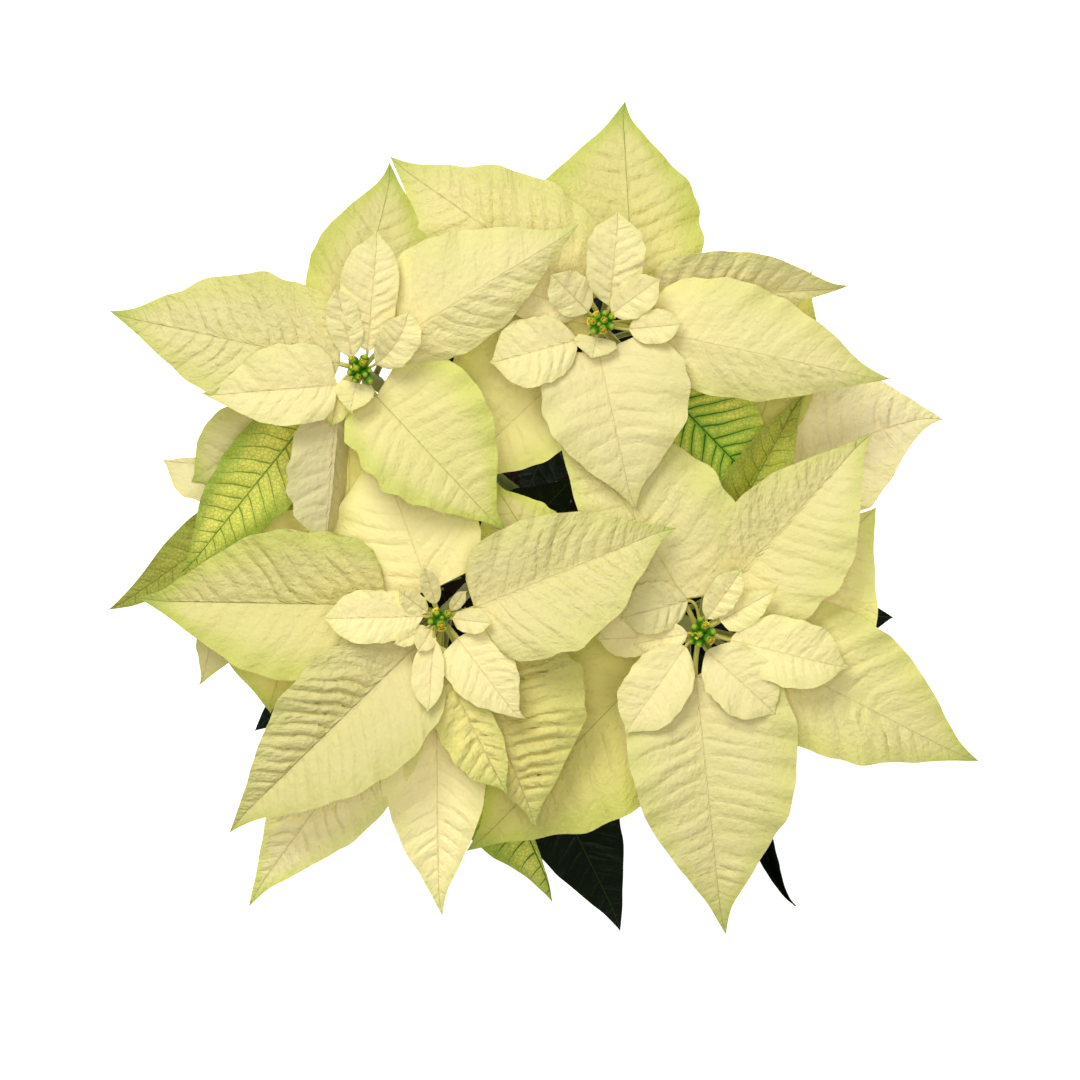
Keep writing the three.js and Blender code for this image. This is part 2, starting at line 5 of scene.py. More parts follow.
import bmesh
import bpy
import numpy as np
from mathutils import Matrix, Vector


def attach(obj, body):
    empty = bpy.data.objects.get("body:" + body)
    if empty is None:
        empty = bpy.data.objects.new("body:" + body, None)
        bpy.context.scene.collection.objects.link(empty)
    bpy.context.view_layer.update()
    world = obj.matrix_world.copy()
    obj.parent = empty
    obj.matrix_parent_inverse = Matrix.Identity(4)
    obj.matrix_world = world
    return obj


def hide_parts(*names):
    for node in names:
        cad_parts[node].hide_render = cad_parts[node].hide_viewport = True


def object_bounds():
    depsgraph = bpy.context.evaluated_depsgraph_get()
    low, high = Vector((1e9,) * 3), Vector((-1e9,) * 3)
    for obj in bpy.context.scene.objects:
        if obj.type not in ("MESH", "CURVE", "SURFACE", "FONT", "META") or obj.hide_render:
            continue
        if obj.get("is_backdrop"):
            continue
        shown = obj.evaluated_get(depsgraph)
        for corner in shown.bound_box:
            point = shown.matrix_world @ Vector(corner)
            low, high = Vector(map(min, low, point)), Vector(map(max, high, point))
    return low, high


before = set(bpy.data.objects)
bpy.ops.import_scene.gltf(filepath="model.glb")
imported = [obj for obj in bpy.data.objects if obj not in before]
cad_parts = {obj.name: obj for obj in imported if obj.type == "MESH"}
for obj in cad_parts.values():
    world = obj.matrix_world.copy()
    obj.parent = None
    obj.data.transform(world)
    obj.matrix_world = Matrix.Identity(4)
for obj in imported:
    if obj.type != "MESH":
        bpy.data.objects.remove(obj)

CAD_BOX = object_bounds()
MM = 0.001

# ---------------------------------------------------------------- sizes of the plant, in millimetres

POT_HEIGHT = 128
POT_TOP_RADIUS = 76
POT_BASE_RADIUS = 55
POT_WALL = 2.4
POT_FLOOR = 3
RIM_HEIGHT = 20
RIM_STEP = 2.6
DRAIN_HOLES = 6
DRAIN_HOLE_RADIUS = 4
DRAIN_CIRCLE_RADIUS = 38
SOIL_TOP = 112
SOIL_MOUND = 4

STEM_RADIUS = 6.5
STEM_TOP = 164
STEM_HOLE_FLOOR = 62
STUB_LENGTH = 15
STUB_RADIUS = 4.4
SHOOT_RADIUS = 3.2
FORK_DEPTH = 16
SHOOT_BENDS = [(0.2, -0.016), (0.62, 0.3), (0.93, 0.7)]

CORE_LENGTH = 48
CORE_TOP = -9
CORE_RADIUS = 3.6
GAP = 0.3

SHEET_THICKNESS = 0.42
MARGIN_THICKNESS = 0.16
PETIOLE_RADIUS = {"ovate": 1.15, "heart": 1.15, "small": 0.7, "leaf": 1.35}
PETIOLE_RISE = 2.5
PETIOLE_SLOPE = 0.3
PETIOLE_BEND = 0.35
EDGE_WAVES = 2.5
LEAST_HALF_WIDTH = 0.14
VEIN_LEAD = {"ovate": 0.7, "heart": 0.3, "small": 0.5, "leaf": 0.7}
ROWS_PER_VEIN = 6

CUP_TOP = 7.5
CUP_DROP = 0.03
DISC_HEIGHT = 1.6

# Rows of a blade's outline from base to tip: place on the midrib, place of the row's outer end, half width.
OUTLINES = {
    "ovate": [
        (0, 0, 0.05), (0.05, 0.03, 0.57), (0.14, 0.15, 0.93), (0.28, 0.36, 1),
        (0.45, 0.56, 0.85), (0.63, 0.75, 0.48), (0.82, 0.9, 0.15), (1, 1, 0),
    ],
    "heart": [
        (0, -0.01, 0.05), (0.04, -0.06, 0.45), (0.12, 0.05, 0.86), (0.24, 0.25, 1),
        (0.41, 0.49, 0.88), (0.6, 0.71, 0.5), (0.81, 0.89, 0.13), (1, 1, 0),
    ],
    "small": [
        (0, 0, 0.08), (0.1, 0.09, 0.52), (0.27, 0.33, 0.95), (0.46, 0.58, 1), (0.64, 0.79, 0.76),
        (0.78, 0.9, 0.34), (0.89, 0.95, 0.12), (1, 1, 0),
    ],
    "leaf": [
        (0, -0.01, 0.05), (0.08, 0.02, 0.66), (0.25, 0.3, 1), (0.48, 0.58, 0.8), (0.74, 0.84, 0.31),
        (1, 1, 0),
    ],
}


def blade(outline, base, tip, half, arch=0, **shape):
    """A bract or leaf, from its head's middle: base and tip, half widths left and right of the midrib, and
    the midrib's bulge up (arch) and to the left (bend). The rise of each half is in degrees (tilt), and
    wave is the share of the half width by which the edge ripples. gap is the distance between side veins in
    mm, puff the height of the tissue between them (on both halves or on each), crinkle that of its finer
    folds, hook the sideways reach of the very tip and shoot a leaf's place along its shoot. green, beige,
    pale and deep say how the blade is tinted (deep: how yellow a bract or how green a turning leaf's margin
    is; on bracts that lie low its yellow is partly painted olive shade). light scales the blade's colour,
    partly for its own lightness, partly as painted light on blades that lie in shadow or turn from the
    lamps and painted shade on others."""
    return {
        "outline": outline, "base": base, "tip": tip, "half": half, "arch": arch, "finish": "bract",
        "bend": 0, "tilt": (6, 6), "wave": 0.05, "gap": 7.0, "puff": 0.6, "crinkle": 0.3, "hook": 1.5,
        "green": 0.3, "beige": 0.15, "pale": 0.0, "deep": 0.1, "light": 1.0, **shape,
    }


def ovate(*sizes, **shape):
    return blade("ovate", *sizes, **shape)


def heart(*sizes, **shape):
    return blade("heart", *sizes, **shape)


def small(*sizes, **shape):
    plain = {"gap": 5.0, "puff": 0.28, "green": 0.08, "pale": 0.75, "hook": 0.6}
    return blade("small", *sizes, **{**plain, **shape})


def turning(*sizes, **shape):
    """A leaf on its way from green to bract colour."""
    return blade("leaf", *sizes, **{"finish": "turning", "gap": 7.5, **shape})


def leaf(base, tip, half, arch, shoot, **shape):
    """A dark foliage leaf."""
    return blade("leaf", base, tip, half, arch, finish="leaf", puff=0.7, gap=8.0, shoot=shoot, **shape)


# Each head: its place, its cup flowers, its bracts and its leaves. A cup flower is its place from the
# head's middle, which of the kinds below it is, and how wide it is. A blade is its base, tip, half widths
# and arch, and a leaf also its place along the shoot.
# A blade's light above 1 is partly painted light on blades that lie in shadow or turn from the lamps, and
# below 1 partly painted shade; a low bract's deep is partly painted olive shade.
UPPER_LEFT = {
    "at": (-82, 64, 345),
    "cups": [(-4.1, 5.1, 4, 1), (2.3, 6.4, 0, 1), (1.2, 3.4, 4, 1), (-2.1, 0.7, 3, 1.05),
             (-5.6, -1.4, 0, 0.9), (4.8, -0.6, 0, 0.75), (-1.0, -3.6, 2, 0.8), (5.0, -5.9, 0, 1),
             (2.4, -2.6, 0, 0.9), (-2.8, -5.6, 0, 0.8)],
    "bracts": [
        ovate((-10, 3, -14), (-116, 26, -24), (29, 33), 7, tilt=(0, 2), puff=1.3, green=0.5, beige=0.3,
              light=0.93),
        ovate((-11, -7, -12), (-73, -12, -13), (17, 21), 4, pale=0.6, green=0.1),
        ovate((-8, 20, -26), (14, 96, -34), (26, 31), 5, bend=-2.5, tilt=(2, -8), puff=0.7, green=1.0,
              light=0.84),
        ovate((10, 10, -14), (100.5, 65.5, -9), (32, 23), 9, tilt=(-4, -20), gap=8, puff=(0.45, 1.0),
              pale=0.35, green=0.2, light=0.98),
        small((3, 9, -12), (8, 64, -2), (15, 12), 3, tilt=(8, 8), puff=0.5, beige=0.2),
        small((-4, 6, -12), (-11, 38, 0), (8, 8), tilt=(8, 8), puff=0.5, beige=0.3, light=1.04),
        small((7, 3, -12), (22, 27, 4), (9, 10), 3, bend=-3, tilt=(12, 6), puff=0.5, light=1.08),
        heart((-2, -6, -11), (-5, -20, -8), (9, 9), 1, gap=3, puff=0.2, beige=0.2, green=0, light=1.05),
        heart((7, -12, -19), (65, -74, -25), (38, 27), 6, tilt=(4, 6), wave=0.03, puff=0.55, green=0.9,
              deep=0.3, light=0.98),
        small((-11, -11, -24), (-17, -82, -26), (20, 20), 3, tilt=(-70, 12), gap=7, puff=0.6, pale=0,
              beige=0.9, crinkle=0.5, light=0.87),
        small((-22, -14, -50), (-81, -50, -70), (22, 20), 4, gap=7, puff=0.5, pale=0, beige=0.6,
              green=0.5, light=0.9),
        small((-50, -37, -62), (-95, -40.5, -80), (18, 3), 2, bend=3, gap=7, pale=0, beige=0.9),
        turning((-27, -24, -46), (-84, -94, -62), (19, 21), 5, gap=6.5, green=0.42, deep=0.75,
                light=1.07),
        ovate((-14, -76, -68), (-83, -96, -70), (10, 18), 2, pale=0.5, light=1.1),
        small((-9, -6, -15), (-14, -26, -17), (6, 5), green=0.5, deep=0.6),
        ovate((-6, -18, -40), (-6, -90, -48), (17, 19), 2, green=0.4, deep=0.9),
    ],
    "leaves": [
        turning((-20, -42, -88), (-121, -112, -106), (22, 17), 8, shoot=0.6, green=0.2, deep=0.35,
                light=0.66),
        leaf((-27, -8, -75), (-76, -2, -104), (22, 22), 6, 0.8),
        leaf((12, 24, -74), (10, 70, -108), (20, 22), 6, 0.84),
        leaf((30, 5, -86), (77, 20, -116), (22, 22), 6, 0.7),
        leaf((5, -25, -92), (15, -80, -116), (22, 22), 6, 0.72),
        leaf((20, -40, -134), (-54, -32, -176), (25, 25), 8, 0.35),
        leaf((24, -66, -142), (-44, -104, -190), (25, 25), 8, 0.42),
        leaf((50, -2, -130), (34, 68, -173), (24, 24), 8, 0.45),
    ],
}
TOP = {
    "at": (28, 86, 338),
    "cups": [(-4.3, 0.2, 4, 1.1), (-2.0, 3.2, 1, 0.9), (2.0, 4.5, 0, 1), (5.1, 2.6, 3, 0.95),
             (1.5, 1.0, 2, 1), (0.8, -3.4, 1, 1), (-4.0, -4.8, 0, 1.05), (5.4, -2.3, 0, 1.05),
             (-1.2, -1.2, 0, 0.8)],
    "bracts": [
        ovate((-6, 11, -26), (-98, 76, -29), (36, 34), 5, tilt=(2, 1), puff=1.0, green=0.35, light=0.95),
        heart((15, 17, -32), (10, 103.5, -42), (51, 34), 6, tilt=(2, -3), puff=0.9, green=1.0, deep=0.4,
              light=0.872),
        ovate((23, 11, -27), (115, 16.5, -38), (25, 11), 8, tilt=(38, -20), puff=1.1, beige=0.6),
        ovate((19, -3, -16), (133, -27, -22), (30.5, 24), 9, tilt=(-1, -18), gap=8, puff=(0.3, 0.8),
              green=0.3, pale=0.2),
        small((13, -3, -12), (37, -1, -4), (8, 8), 2),
        heart((-1, -14, -14), (15, -86, -20), (38, 31), 6, tilt=(4, 5), gap=8, puff=0.6, pale=0.6,
              green=0.1, light=0.93),
        small((-11, -8, -12), (-51, -19, -10), (16, 16), 4, puff=0.55),
        small((4, 8, -12), (8, 51, -2), (13, 14), 3, tilt=(8, 8), puff=0.4),
        small((-6, 5, -12), (-23, 22, 0), (10, 10), tilt=(8, 8), puff=0.5),
        small((-9, 5, -15), (-53, 21, -17), (12, 14), 3, beige=0.6, light=0.95),
        small((-3, -1, -22), (-38, 5, -26), (9, 9), deep=0.9, pale=0),
        small((5, 4, -12), (27, 20, 0), (9, 9), tilt=(8, 8), light=1.04),
        heart((-2, -7, -11), (-4, -17, -8), (10, 10), 1, gap=3, puff=0.3, beige=0.3, green=0),
        heart((-12, -18, -38), (-75, -77, -46), (26, 43), 5, green=0.5, deep=0.3, beige=0.3),
        ovate((73, -49, -58), (97, 26, -45), (11, 20), 2, green=0.7, deep=1.1, light=0.9),
        turning((20, -20, -49), (79, -80, -59), (33, 27), 5, gap=5.5, green=0.95, deep=0.05, light=1.3),
        ovate((22, 2, -46), (103, -3, -46), (24, 18), 4, green=1.0, deep=0.6, light=0.9),
    ],
    "leaves": [
        leaf((5, 26, -76), (8, 90, -112), (24, 24), 6, 0.84),
        leaf((-22, 18, -74), (-76, 60, -106), (24, 24), 6, 0.8),
        leaf((28, -4, -84), (100, -44, -114), (25, 25), 6, 0.74),
        leaf((-10, -25, -84), (-36, -80, -122), (22, 22), 6, 0.66),
        leaf((-6, -24, -133), (-6, 56, -176), (25, 25), 8, 0.38),
        leaf((20, -41, -130), (84, 4, -170), (25, 25), 8, 0.42),
    ],
}
LOWER_LEFT = {
    "at": (-46, -50, 332),
    "cups": [(-1.5, 3.0, 3, 1), (4.0, 2.7, 2, 1.05), (-4.6, -1.4, 0, 1), (0.7, -2.9, 4, 1.2),
             (1.2, 0.6, 0, 0.7)],
    "bracts": [
        ovate((16, 5, -12), (108, 43, -12), (30, 36), 7, tilt=(15, 15), puff=(0.9, 1.1), beige=0.25,
              light=0.955),
        ovate((-25, 6, -20), (-140, 8, -34), (36, 36), 8, tilt=(6, 18), gap=8.5, green=0.8, deep=0.3,
              puff=(0.6, 1.7), light=0.92),
        ovate((-5, 13, -20), (-30, 82, -26), (43, 32), 4, tilt=(-7, 4), puff=0.5, green=0.2, pale=0.4,
              light=1.035),
        ovate((-10, -12, -17.5), (-98.5, -98, -25.5), (35.2, 30.2), 8, tilt=(12, 20), gap=6.5,
              puff=(0.45, 1.7), crinkle=0.5, beige=0.2, green=0.25, light=0.91),
        ovate((-18, -33, -34), (-91, -134, -54), (27, 26), 5, tilt=(4, 9), puff=1.4, crinkle=0.4,
              green=0.5, beige=1.0, light=1.25),
        ovate((-2, -33, -36), (-1, -139, -52), (23, 26), 6, puff=0.8, green=0.2, beige=0.4, pale=0.8,
              light=1.26),
        small((-8, 1, -10), (-54, 0, -3), (12, 13), 3, wave=0.03, light=1.1),
        ovate((8, -9, -12), (37.5, -47.5, -12), (16.5, 15.5), 3, wave=0.015, gap=5, puff=0.3, pale=0.75,
              green=0.08, hook=2.5, light=1.05),
        small((-2, -12, -14), (31, -81, -21), (11, 16), 2, bend=-1, tilt=(6, 7), wave=0.06, gap=6,
              puff=1.3, crinkle=2.0, hook=0, pale=0, green=0.3, beige=0.4, deep=0.8, light=1.0),
        heart((13, -23, -24), (44.5, -97, -38), (46.5, 20), 4, bend=1, tilt=(4, 4), wave=0.04, gap=5.5,
              puff=2.2, crinkle=1.8, beige=0.4, deep=0.85, light=0.9),
        small((-2, 7, -12), (-7, 24, 4), (4.5, 4.5), tilt=(10, 10), light=1.2),
        small((-6, 3, -12), (-19, 13, 0), (5, 5), tilt=(8, 8), light=1.18),
        small((-6, -4, -12), (-21, -12, -1), (4, 4), tilt=(8, 8), light=1.06),
        small((-4, -5, -12), (-10, -15, -3), (5, 5), beige=0.3),
        small((-3, -9, -9), (-5, -43, -2), (6, 9), wave=0.03, puff=0.2),
        small((6, 0, -12), (24, -2, -1), (6, 6), tilt=(8, 8), light=1.04),
        small((5, 4, -12), (12, 13, 2), (3, 3), tilt=(8, 8), light=1.15),
        ovate((-102, 13, -46), (-112, -32, -60), (17, 8), 2, beige=0.8, light=0.95),
        ovate((-65, 4, -42), (-81, -44, -52), (20, 37), 3, green=0.8, deep=0.8),
        ovate((50, 22, -34), (25, 62, -30), (30, 18), 3, tilt=(3, 3), puff=0.9, green=1.0),
        turning((6, -40, -52), (53, -133.5, -84), (4, 30), 5, bend=3, green=0.6, deep=0.7, light=1.14),
    ],
    "leaves": [
        leaf((-25, -12, -78), (-90, -53, -106), (21, 20), 6, 0.78),
        leaf((38, -50, -84), (85.5, -149.5, -122), (26, 24), 9, 0.7),
        leaf((-26, 6, -72), (-106, 10, -100), (24, 24), 6, 0.86),
        leaf((-18, -20, -72), (-72, -82, -114), (24, 24), 6, 0.82),
        leaf((0, -30, -74), (-2, -96, -118), (22, 22), 6, 0.74),
        leaf((14, 14, -78), (62, 66, -96), (24, 24), 5, 0.8),
        leaf((-4, 14, -127), (-72, -34, -170), (25, 25), 8, 0.4),
        leaf((16, -8, -132), (-12, -82, -176), (25, 25), 8, 0.36),
    ],
}
LOWER_RIGHT = {
    "at": (74, -57, 325),
    "cups": [(-0.3, 7.5, 0, 1), (-3.4, 3.7, 0, 1.05), (2.0, 4.0, 1, 1.05), (-4.3, -0.3, 0, 0.75),
             (-0.5, -0.2, 3, 1), (6.2, 1.1, 0, 1.05), (4.3, -2.9, 4, 1.1), (-5.0, -3.9, 0, 0.8),
             (-1.1, -5.5, 0, 1)],
    "bracts": [
        heart((-8, 16, -18), (-73, 105, -14), (25, 43), 5, bend=-4, tilt=(12, 5), green=0.5,
              puff=(1.3, 0.9), gap=8, beige=0.3, light=0.98),
        ovate((8, 16, -22), (78, 93, -12), (25, 38), 6, tilt=(13, 10), gap=7, puff=(1.1, 0.6),
              beige=0.25, light=0.99),
        ovate((22, -6, -24), (129.5, -61, -42), (36, 30.8), 9, tilt=(1, -5), green=0.45, gap=8,
              puff=(0.5, 0.9), light=1.04),
        small((14, -3, -12), (68, -16, -12), (17, 15), 5, pale=0.5, light=1.1),
        heart((-2, -20, -18), (11, -140.3, -40), (44, 35.5), 9, tilt=(6, 8), puff=0.75, beige=0.35,
              green=0.4, light=0.99),
        small((-7, -6, -12), (-35, -46, -12), (15, 15), 3, light=1.04),
        small((3, -8, -12), (35, -37, -11), (16, 15), 3),
        ovate((9, 6, -12), (36, 21, -3), (7, 9), tilt=(8, 8), gap=5, puff=0.3, green=0.3, pale=0.5,
              light=1.12),
        small((3, 7, -12), (19, 30, 0), (8, 7), tilt=(14, 14), puff=0.6, light=1.1),
        small((-6, 15, -16), (-37, 7, -12), (11, 13), 2, tilt=(2, 8), gap=6, puff=0.8, crinkle=0.5,
              pale=0.1, beige=0.5, light=0.95),
        small((-6, 0, -13), (-31, -5, -17), (7, 8), tilt=(4, 4), beige=0.2, light=1.06),
        small((-15, -1, -19), (-48, -3, -22), (9, 18), 2, beige=0.3, light=1.04),
        ovate((-19, -12, -42), (-107, -103, -52), (44, 37), 5, gap=10, puff=1.2, green=0.9, deep=0.8,
              light=0.87),
        ovate((16, 12, -34), (83, 57, -38), (25, 58), 4, puff=0.9, green=0.4, beige=0.5, light=1.29),
        ovate((40, 64, -63), (114, 101, -50), (42, 30), 5, bend=8, puff=1.6, crinkle=0.4, green=0.1,
              beige=1.5, light=1.2),
        turning((12, 45, -40), (48, 112, -34), (19, 20), tilt=(45, 45), green=0.3, deep=0.4, light=0.86),
    ],
    "leaves": [
        leaf((26, -50, -72), (46.5, -132, -112), (20, 20), 0, 0.8, bend=-7, tilt=(74, 74)),
        leaf((30, -2, -80), (93, 8, -96), (22, 22), 6, 0.74),
        leaf((28, -14, -72), (100, -46, -112), (24, 24), 8, 0.86),
        leaf((-4, -30, -74), (-2, -106, -116), (24, 24), 8, 0.82),
        leaf((12, 22, -80), (55, 72, -108), (22, 22), 6, 0.7),
        leaf((-28, 5, -84), (-80, 5, -112), (22, 22), 6, 0.66),
        leaf((-64, 2, -120), (-62, -71, -165), (24, 24), 8, 0.4),
        leaf((-26, 4, -127), (17, -62, -171), (24, 24), 8, 0.36),
        leaf((-12, 29, -120), (60, -7, -161), (25, 25), 8, 0.42),
        leaf((-12, 61, -113), (66, 59, -149), (24, 24), 8, 0.46),
    ],
}
HEADS = [UPPER_LEFT, TOP, LOWER_LEFT, LOWER_RIGHT]

# ---------------------------------------------------------------- node helpers

NUMBER_SOCKETS = {int: "NodeSocketInt", float: "NodeSocketFloat"}
SHARP_ANGLE = 50


def node(tree, kind, inputs=None, out=0, **settings):
    """Adds a node, sets or links its inputs, and returns one of its outputs."""
    made = tree.nodes.new(kind)
    for name, value in settings.items():
        setattr(made, name, value)
    for key, value in (inputs or {}).items():
        if isinstance(value, bpy.types.NodeSocket):
            tree.links.new(value, made.inputs[key])
        else:
            made.inputs[key].default_value = value
    return made.outputs[out]


def maths(operation, a, b=0.0, clamp=False):
    """Arithmetic on two sockets, or on a socket and a number, in the socket's tree."""
    tree = (a if isinstance(a, bpy.types.NodeSocket) else b).id_data
    return node(tree, "ShaderNodeMath", {0: a, 1: b}, operation=operation, use_clamp=clamp)


def times(a, b):
    return maths("MULTIPLY", a, b)


def plus(a, b):
    return maths("ADD", a, b)


def minus(a, b):
    return maths("SUBTRACT", a, b)


def vector(x, y, z):
    return node(x.id_data, "ShaderNodeCombineXYZ", {0: x, 1: y, 2: z})


def vector_maths(operation, a, b):
    return node(a.id_data, "ShaderNodeVectorMath", {0: a, 1: b}, operation=operation)


def scaled(a, factor):
    return node(a.id_data, "ShaderNodeVectorMath", {0: a, "Scale": factor}, operation="SCALE")


def ramp(value, low, high, to_low=0.0, to_high=1.0):
    """A smooth step from to_low at low to to_high at high."""
    inputs = {"Value": value, "From Min": low, "From Max": high, "To Min": to_low, "To Max": to_high}
    return node(value.id_data, "ShaderNodeMapRange", inputs, interpolation_type="SMOOTHSTEP")


def fall(value, low, high):
    """A smooth step from 1 at low to 0 at high."""
    return ramp(value, low, high, 1.0, 0.0)


def blend(share, a, b):
    """Colour a turned to colour b by a share."""
    return node(share.id_data, "ShaderNodeMix", {0: share, 6: a, 7: b}, out=2, data_type="RGBA")


def noise(place, scale, detail=2.0, out=0):
    inputs = {"Vector": place, "Scale": scale, "Detail": detail}
    return node(place.id_data, "ShaderNodeTexNoise", inputs, out=out)


def group_tree(name, kind, takes, gives, given="NodeSocketFloat"):
    """A node group with named inputs and outputs. What an input takes is its default number or else the
    type of its socket, and all outputs are of one type."""
    tree = bpy.data.node_groups.new(name, kind)
    for label, start in takes.items():
        socket = NUMBER_SOCKETS.get(type(start), start)
        made = tree.interface.new_socket(label, in_out="INPUT", socket_type=socket)
        if socket != start:
            made.default_value = start
    for label in gives:
        tree.interface.new_socket(label, in_out="OUTPUT", socket_type=given)
    entry = tree.nodes.new("NodeGroupInput")
    leave = tree.nodes.new("NodeGroupOutput")
    return tree, entry.outputs, leave.inputs


def geometry_tree(name, takes):
    """A geometry tree, which also takes its mesh and the material of what it makes."""
    takes = {"Geometry": "NodeSocketGeometry", **takes, "Material": "NodeSocketMaterial"}
    return group_tree(name, "GeometryNodeTree", takes, ["Geometry"], "NodeSocketGeometry")


def finished(tree, geometry, leave, material):
    """Ends a tree: real meshes, with their material."""
    real = node(tree, "GeometryNodeRealizeInstances", {"Geometry": geometry})
    painted = node(tree, "GeometryNodeSetMaterial", {"Geometry": real, "Material": material})
    tree.links.new(painted, leave["Geometry"])
    return tree


def attribute(tree, name, kind="FLOAT"):
    return node(tree, "GeometryNodeInputNamedAttribute", {"Name": name}, data_type=kind)


def stood_on(points, collection, turn, size, **more):
    """Stands an object of a collection on each point, turned and sized as the point says."""
    tree = points.id_data
    picked = {"Collection": collection, "Separate Children": True, "Reset Children": True}
    inputs = {
        "Points": points,
        "Instance": node(tree, "GeometryNodeCollectionInfo", picked),
        "Pick Instance": True,
        "Rotation": node(tree, "FunctionNodeEulerToRotation", {0: turn}),
        "Scale": size,
    }
    inputs.update((key.replace("_", " ").title(), value) for key, value in more.items())
    return node(tree, "GeometryNodeInstanceOnPoints", inputs)


# ---------------------------------------------------------------- objects


def applied(source, modifier):
    """Keeps what a modifier makes of an object as the object's plain mesh."""
    bpy.context.view_layer.update()
    graph = bpy.context.evaluated_depsgraph_get()
    mesh = bpy.data.meshes.new_from_object(
        source.evaluated_get(graph), preserve_all_data_layers=True, depsgraph=graph
    )
    source.modifiers.remove(modifier)
    source.data = mesh
    return source


def grown(source, tree, **values):
    """Runs a geometry tree on an object, with the values of the tree's inputs."""
    modifier = source.modifiers.new(tree.name, "NODES")
    modifier.node_group = tree
    names = {item.name: item.identifier for item in tree.interface.items_tree if item.in_out == "INPUT"}
    for name, value in values.items():
        modifier[names[name.title()]] = value
    return applied(source, modifier)


def mesh_object(name, points, faces, attributes=None, edges=()):
    """A new object from points in metres, with float or vector attributes on its points."""
    mesh = bpy.data.meshes.new(name)
    mesh.from_pydata([tuple(p) for p in points], edges, faces)
    for label, values in (attributes or {}).items():
        values = np.asarray(values, np.float32)
        kind, field = ("FLOAT_VECTOR", "vector") if values.ndim == 2 else ("FLOAT", "value")
        mesh.attributes.new(label, kind, "POINT").data.foreach_set(field, values.ravel())
    mesh.update()
    made = bpy.data.objects.new(name, mesh)
    bpy.context.scene.collection.objects.link(made)
    return made


def joined_meshes(parts):
    """Points, faces and attributes of several meshes as one."""
    faces, start = [], 0
    for points, part_faces, _ in parts:
        faces.extend([i + start for i in face] for face in part_faces)
        start += len(points)
    values = {key: np.concatenate([part[2][key] for part in parts]) for key in parts[0][2]}
    return np.concatenate([part[0] for part in parts]), faces, values


def smoothed(made, angle=SHARP_ANGLE):
    """Shades an object smooth, with sharp edges past an angle in degrees."""
    made.data.shade_smooth()
    made.data.set_sharp_from_angle(angle=math.radians(angle))
    return made


def settled(made, nodes, slot):
    """Hangs a finished piece on the root body and hides the imported parts that it takes the place of."""
    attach(made, "root")
    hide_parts(*nodes)


# ---------------------------------------------------------------- curves

UP = np.array([0.0, 0.0, 1.0])
CURVE_STEPS = 24


def unit(vectors):
    return vectors / np.linalg.norm(vectors, axis=-1, keepdims=True)


def midrib_of(spec):
    """The four points of a midrib's cubic curve."""
    start = np.array(spec["base"], float)
    end = np.array(spec["tip"], float)
    along = end - start
    left = unit(np.cross(UP, along))
    bulge = UP * spec["arch"] / 0.75 + left * spec["bend"] / 0.75
    return start, start + along / 3 + bulge, start + 2 * along / 3 + bulge, end


def cubic(points, places):
    """Points and tangents of a cubic curve."""
    a, b, c, d = points
    t = np.asarray(places, float)[..., None]
    s = 1 - t
    at = s**3 * a + 3 * s * s * t * b + 3 * s * t * t * c + t**3 * d
    slope = 3 * s * s * (b - a) + 6 * s * t * (c - b) + 3 * t * t * (d - c)
    return at, unit(slope)


def quadratic(points, places):
    """Points of a quadratic curve."""
    a, b, c = points
    t = np.asarray(places, float)[..., None]
    s = 1 - t
    return s * s * a + 2 * s * t * b + t * t * c


def steps_of(points):
    """The distances from point to point along a line."""
    return np.linalg.norm(np.diff(points, axis=0), axis=1)


def run_along(points):
    """The distance along a line, at each of its points."""
    return np.concatenate([[0], np.cumsum(steps_of(points))])


def on_line(points, run, at):
    """The points at some distances along a line."""
    return np.stack([np.interp(at, run, points[:, axis]) for axis in range(3)], axis=-1)


def smooth_through(xs, ys, at):
    """A monotone cubic through points, as a ship's batten runs through them."""
    step = np.diff(xs)
    slope = np.diff(ys) / step
    mean = np.zeros(len(xs))
    for i in range(1, len(xs) - 1):
        if slope[i - 1] * slope[i] > 0:
            w1, w2 = 2 * step[i] + step[i - 1], step[i] + 2 * step[i - 1]
            mean[i] = (w1 + w2) / (w1 / slope[i - 1] + w2 / slope[i])
    mean[0], mean[-1] = slope[0], slope[-1]
    k = np.clip(np.searchsorted(xs, at, side="right") - 1, 0, len(xs) - 2)
    t = (at - xs[k]) / step[k]
    h00 = (1 + 2 * t) * (1 - t) ** 2
    h10 = t * (1 - t) ** 2
    h01 = t * t * (3 - 2 * t)
    h11 = t * t * (t - 1)
    return h00 * ys[k] + h10 * step[k] * mean[k] + h01 * ys[k + 1] + h11 * step[k] * mean[k + 1]


def between(p, q, t, start, stop):
    """The point at t on the straight run from p at start to q at stop."""
    return (stop - t) / (stop - start) * p + (t - start) / (stop - start) * q


def catmull_rom(points, count):
    """Even points on the centripetal curve through the given points."""
    points = [np.array(p, float) for p in points]
    first = 2 * points[0] - points[1]
    last = 2 * points[-1] - points[-2]
    chain = [first, *points, last]
    made = []
    for p0, p1, p2, p3 in zip(chain, chain[1:], chain[2:], chain[3:]):
        t1 = np.linalg.norm(p1 - p0) ** 0.5
        t2 = t1 + np.linalg.norm(p2 - p1) ** 0.5
        t3 = t2 + np.linalg.norm(p3 - p2) ** 0.5
        for t in np.linspace(t1, t2, CURVE_STEPS, endpoint=False):
            a1 = between(p0, p1, t, 0.0, t1)
            a2 = between(p1, p2, t, t1, t2)
            a3 = between(p2, p3, t, t2, t3)
            b1 = between(a1, a2, t, 0.0, t2)
            b2 = between(a2, a3, t, t1, t3)
            made.append(between(b1, b2, t, t1, t2))
    made = np.array([*made, points[-1]])
    run = run_along(made)
    return on_line(made, run, np.linspace(0, run[-1], count))


def head_point(head, height):
    """The point at some height above a head's middle."""
    return np.array(head["at"], float) + UP * height


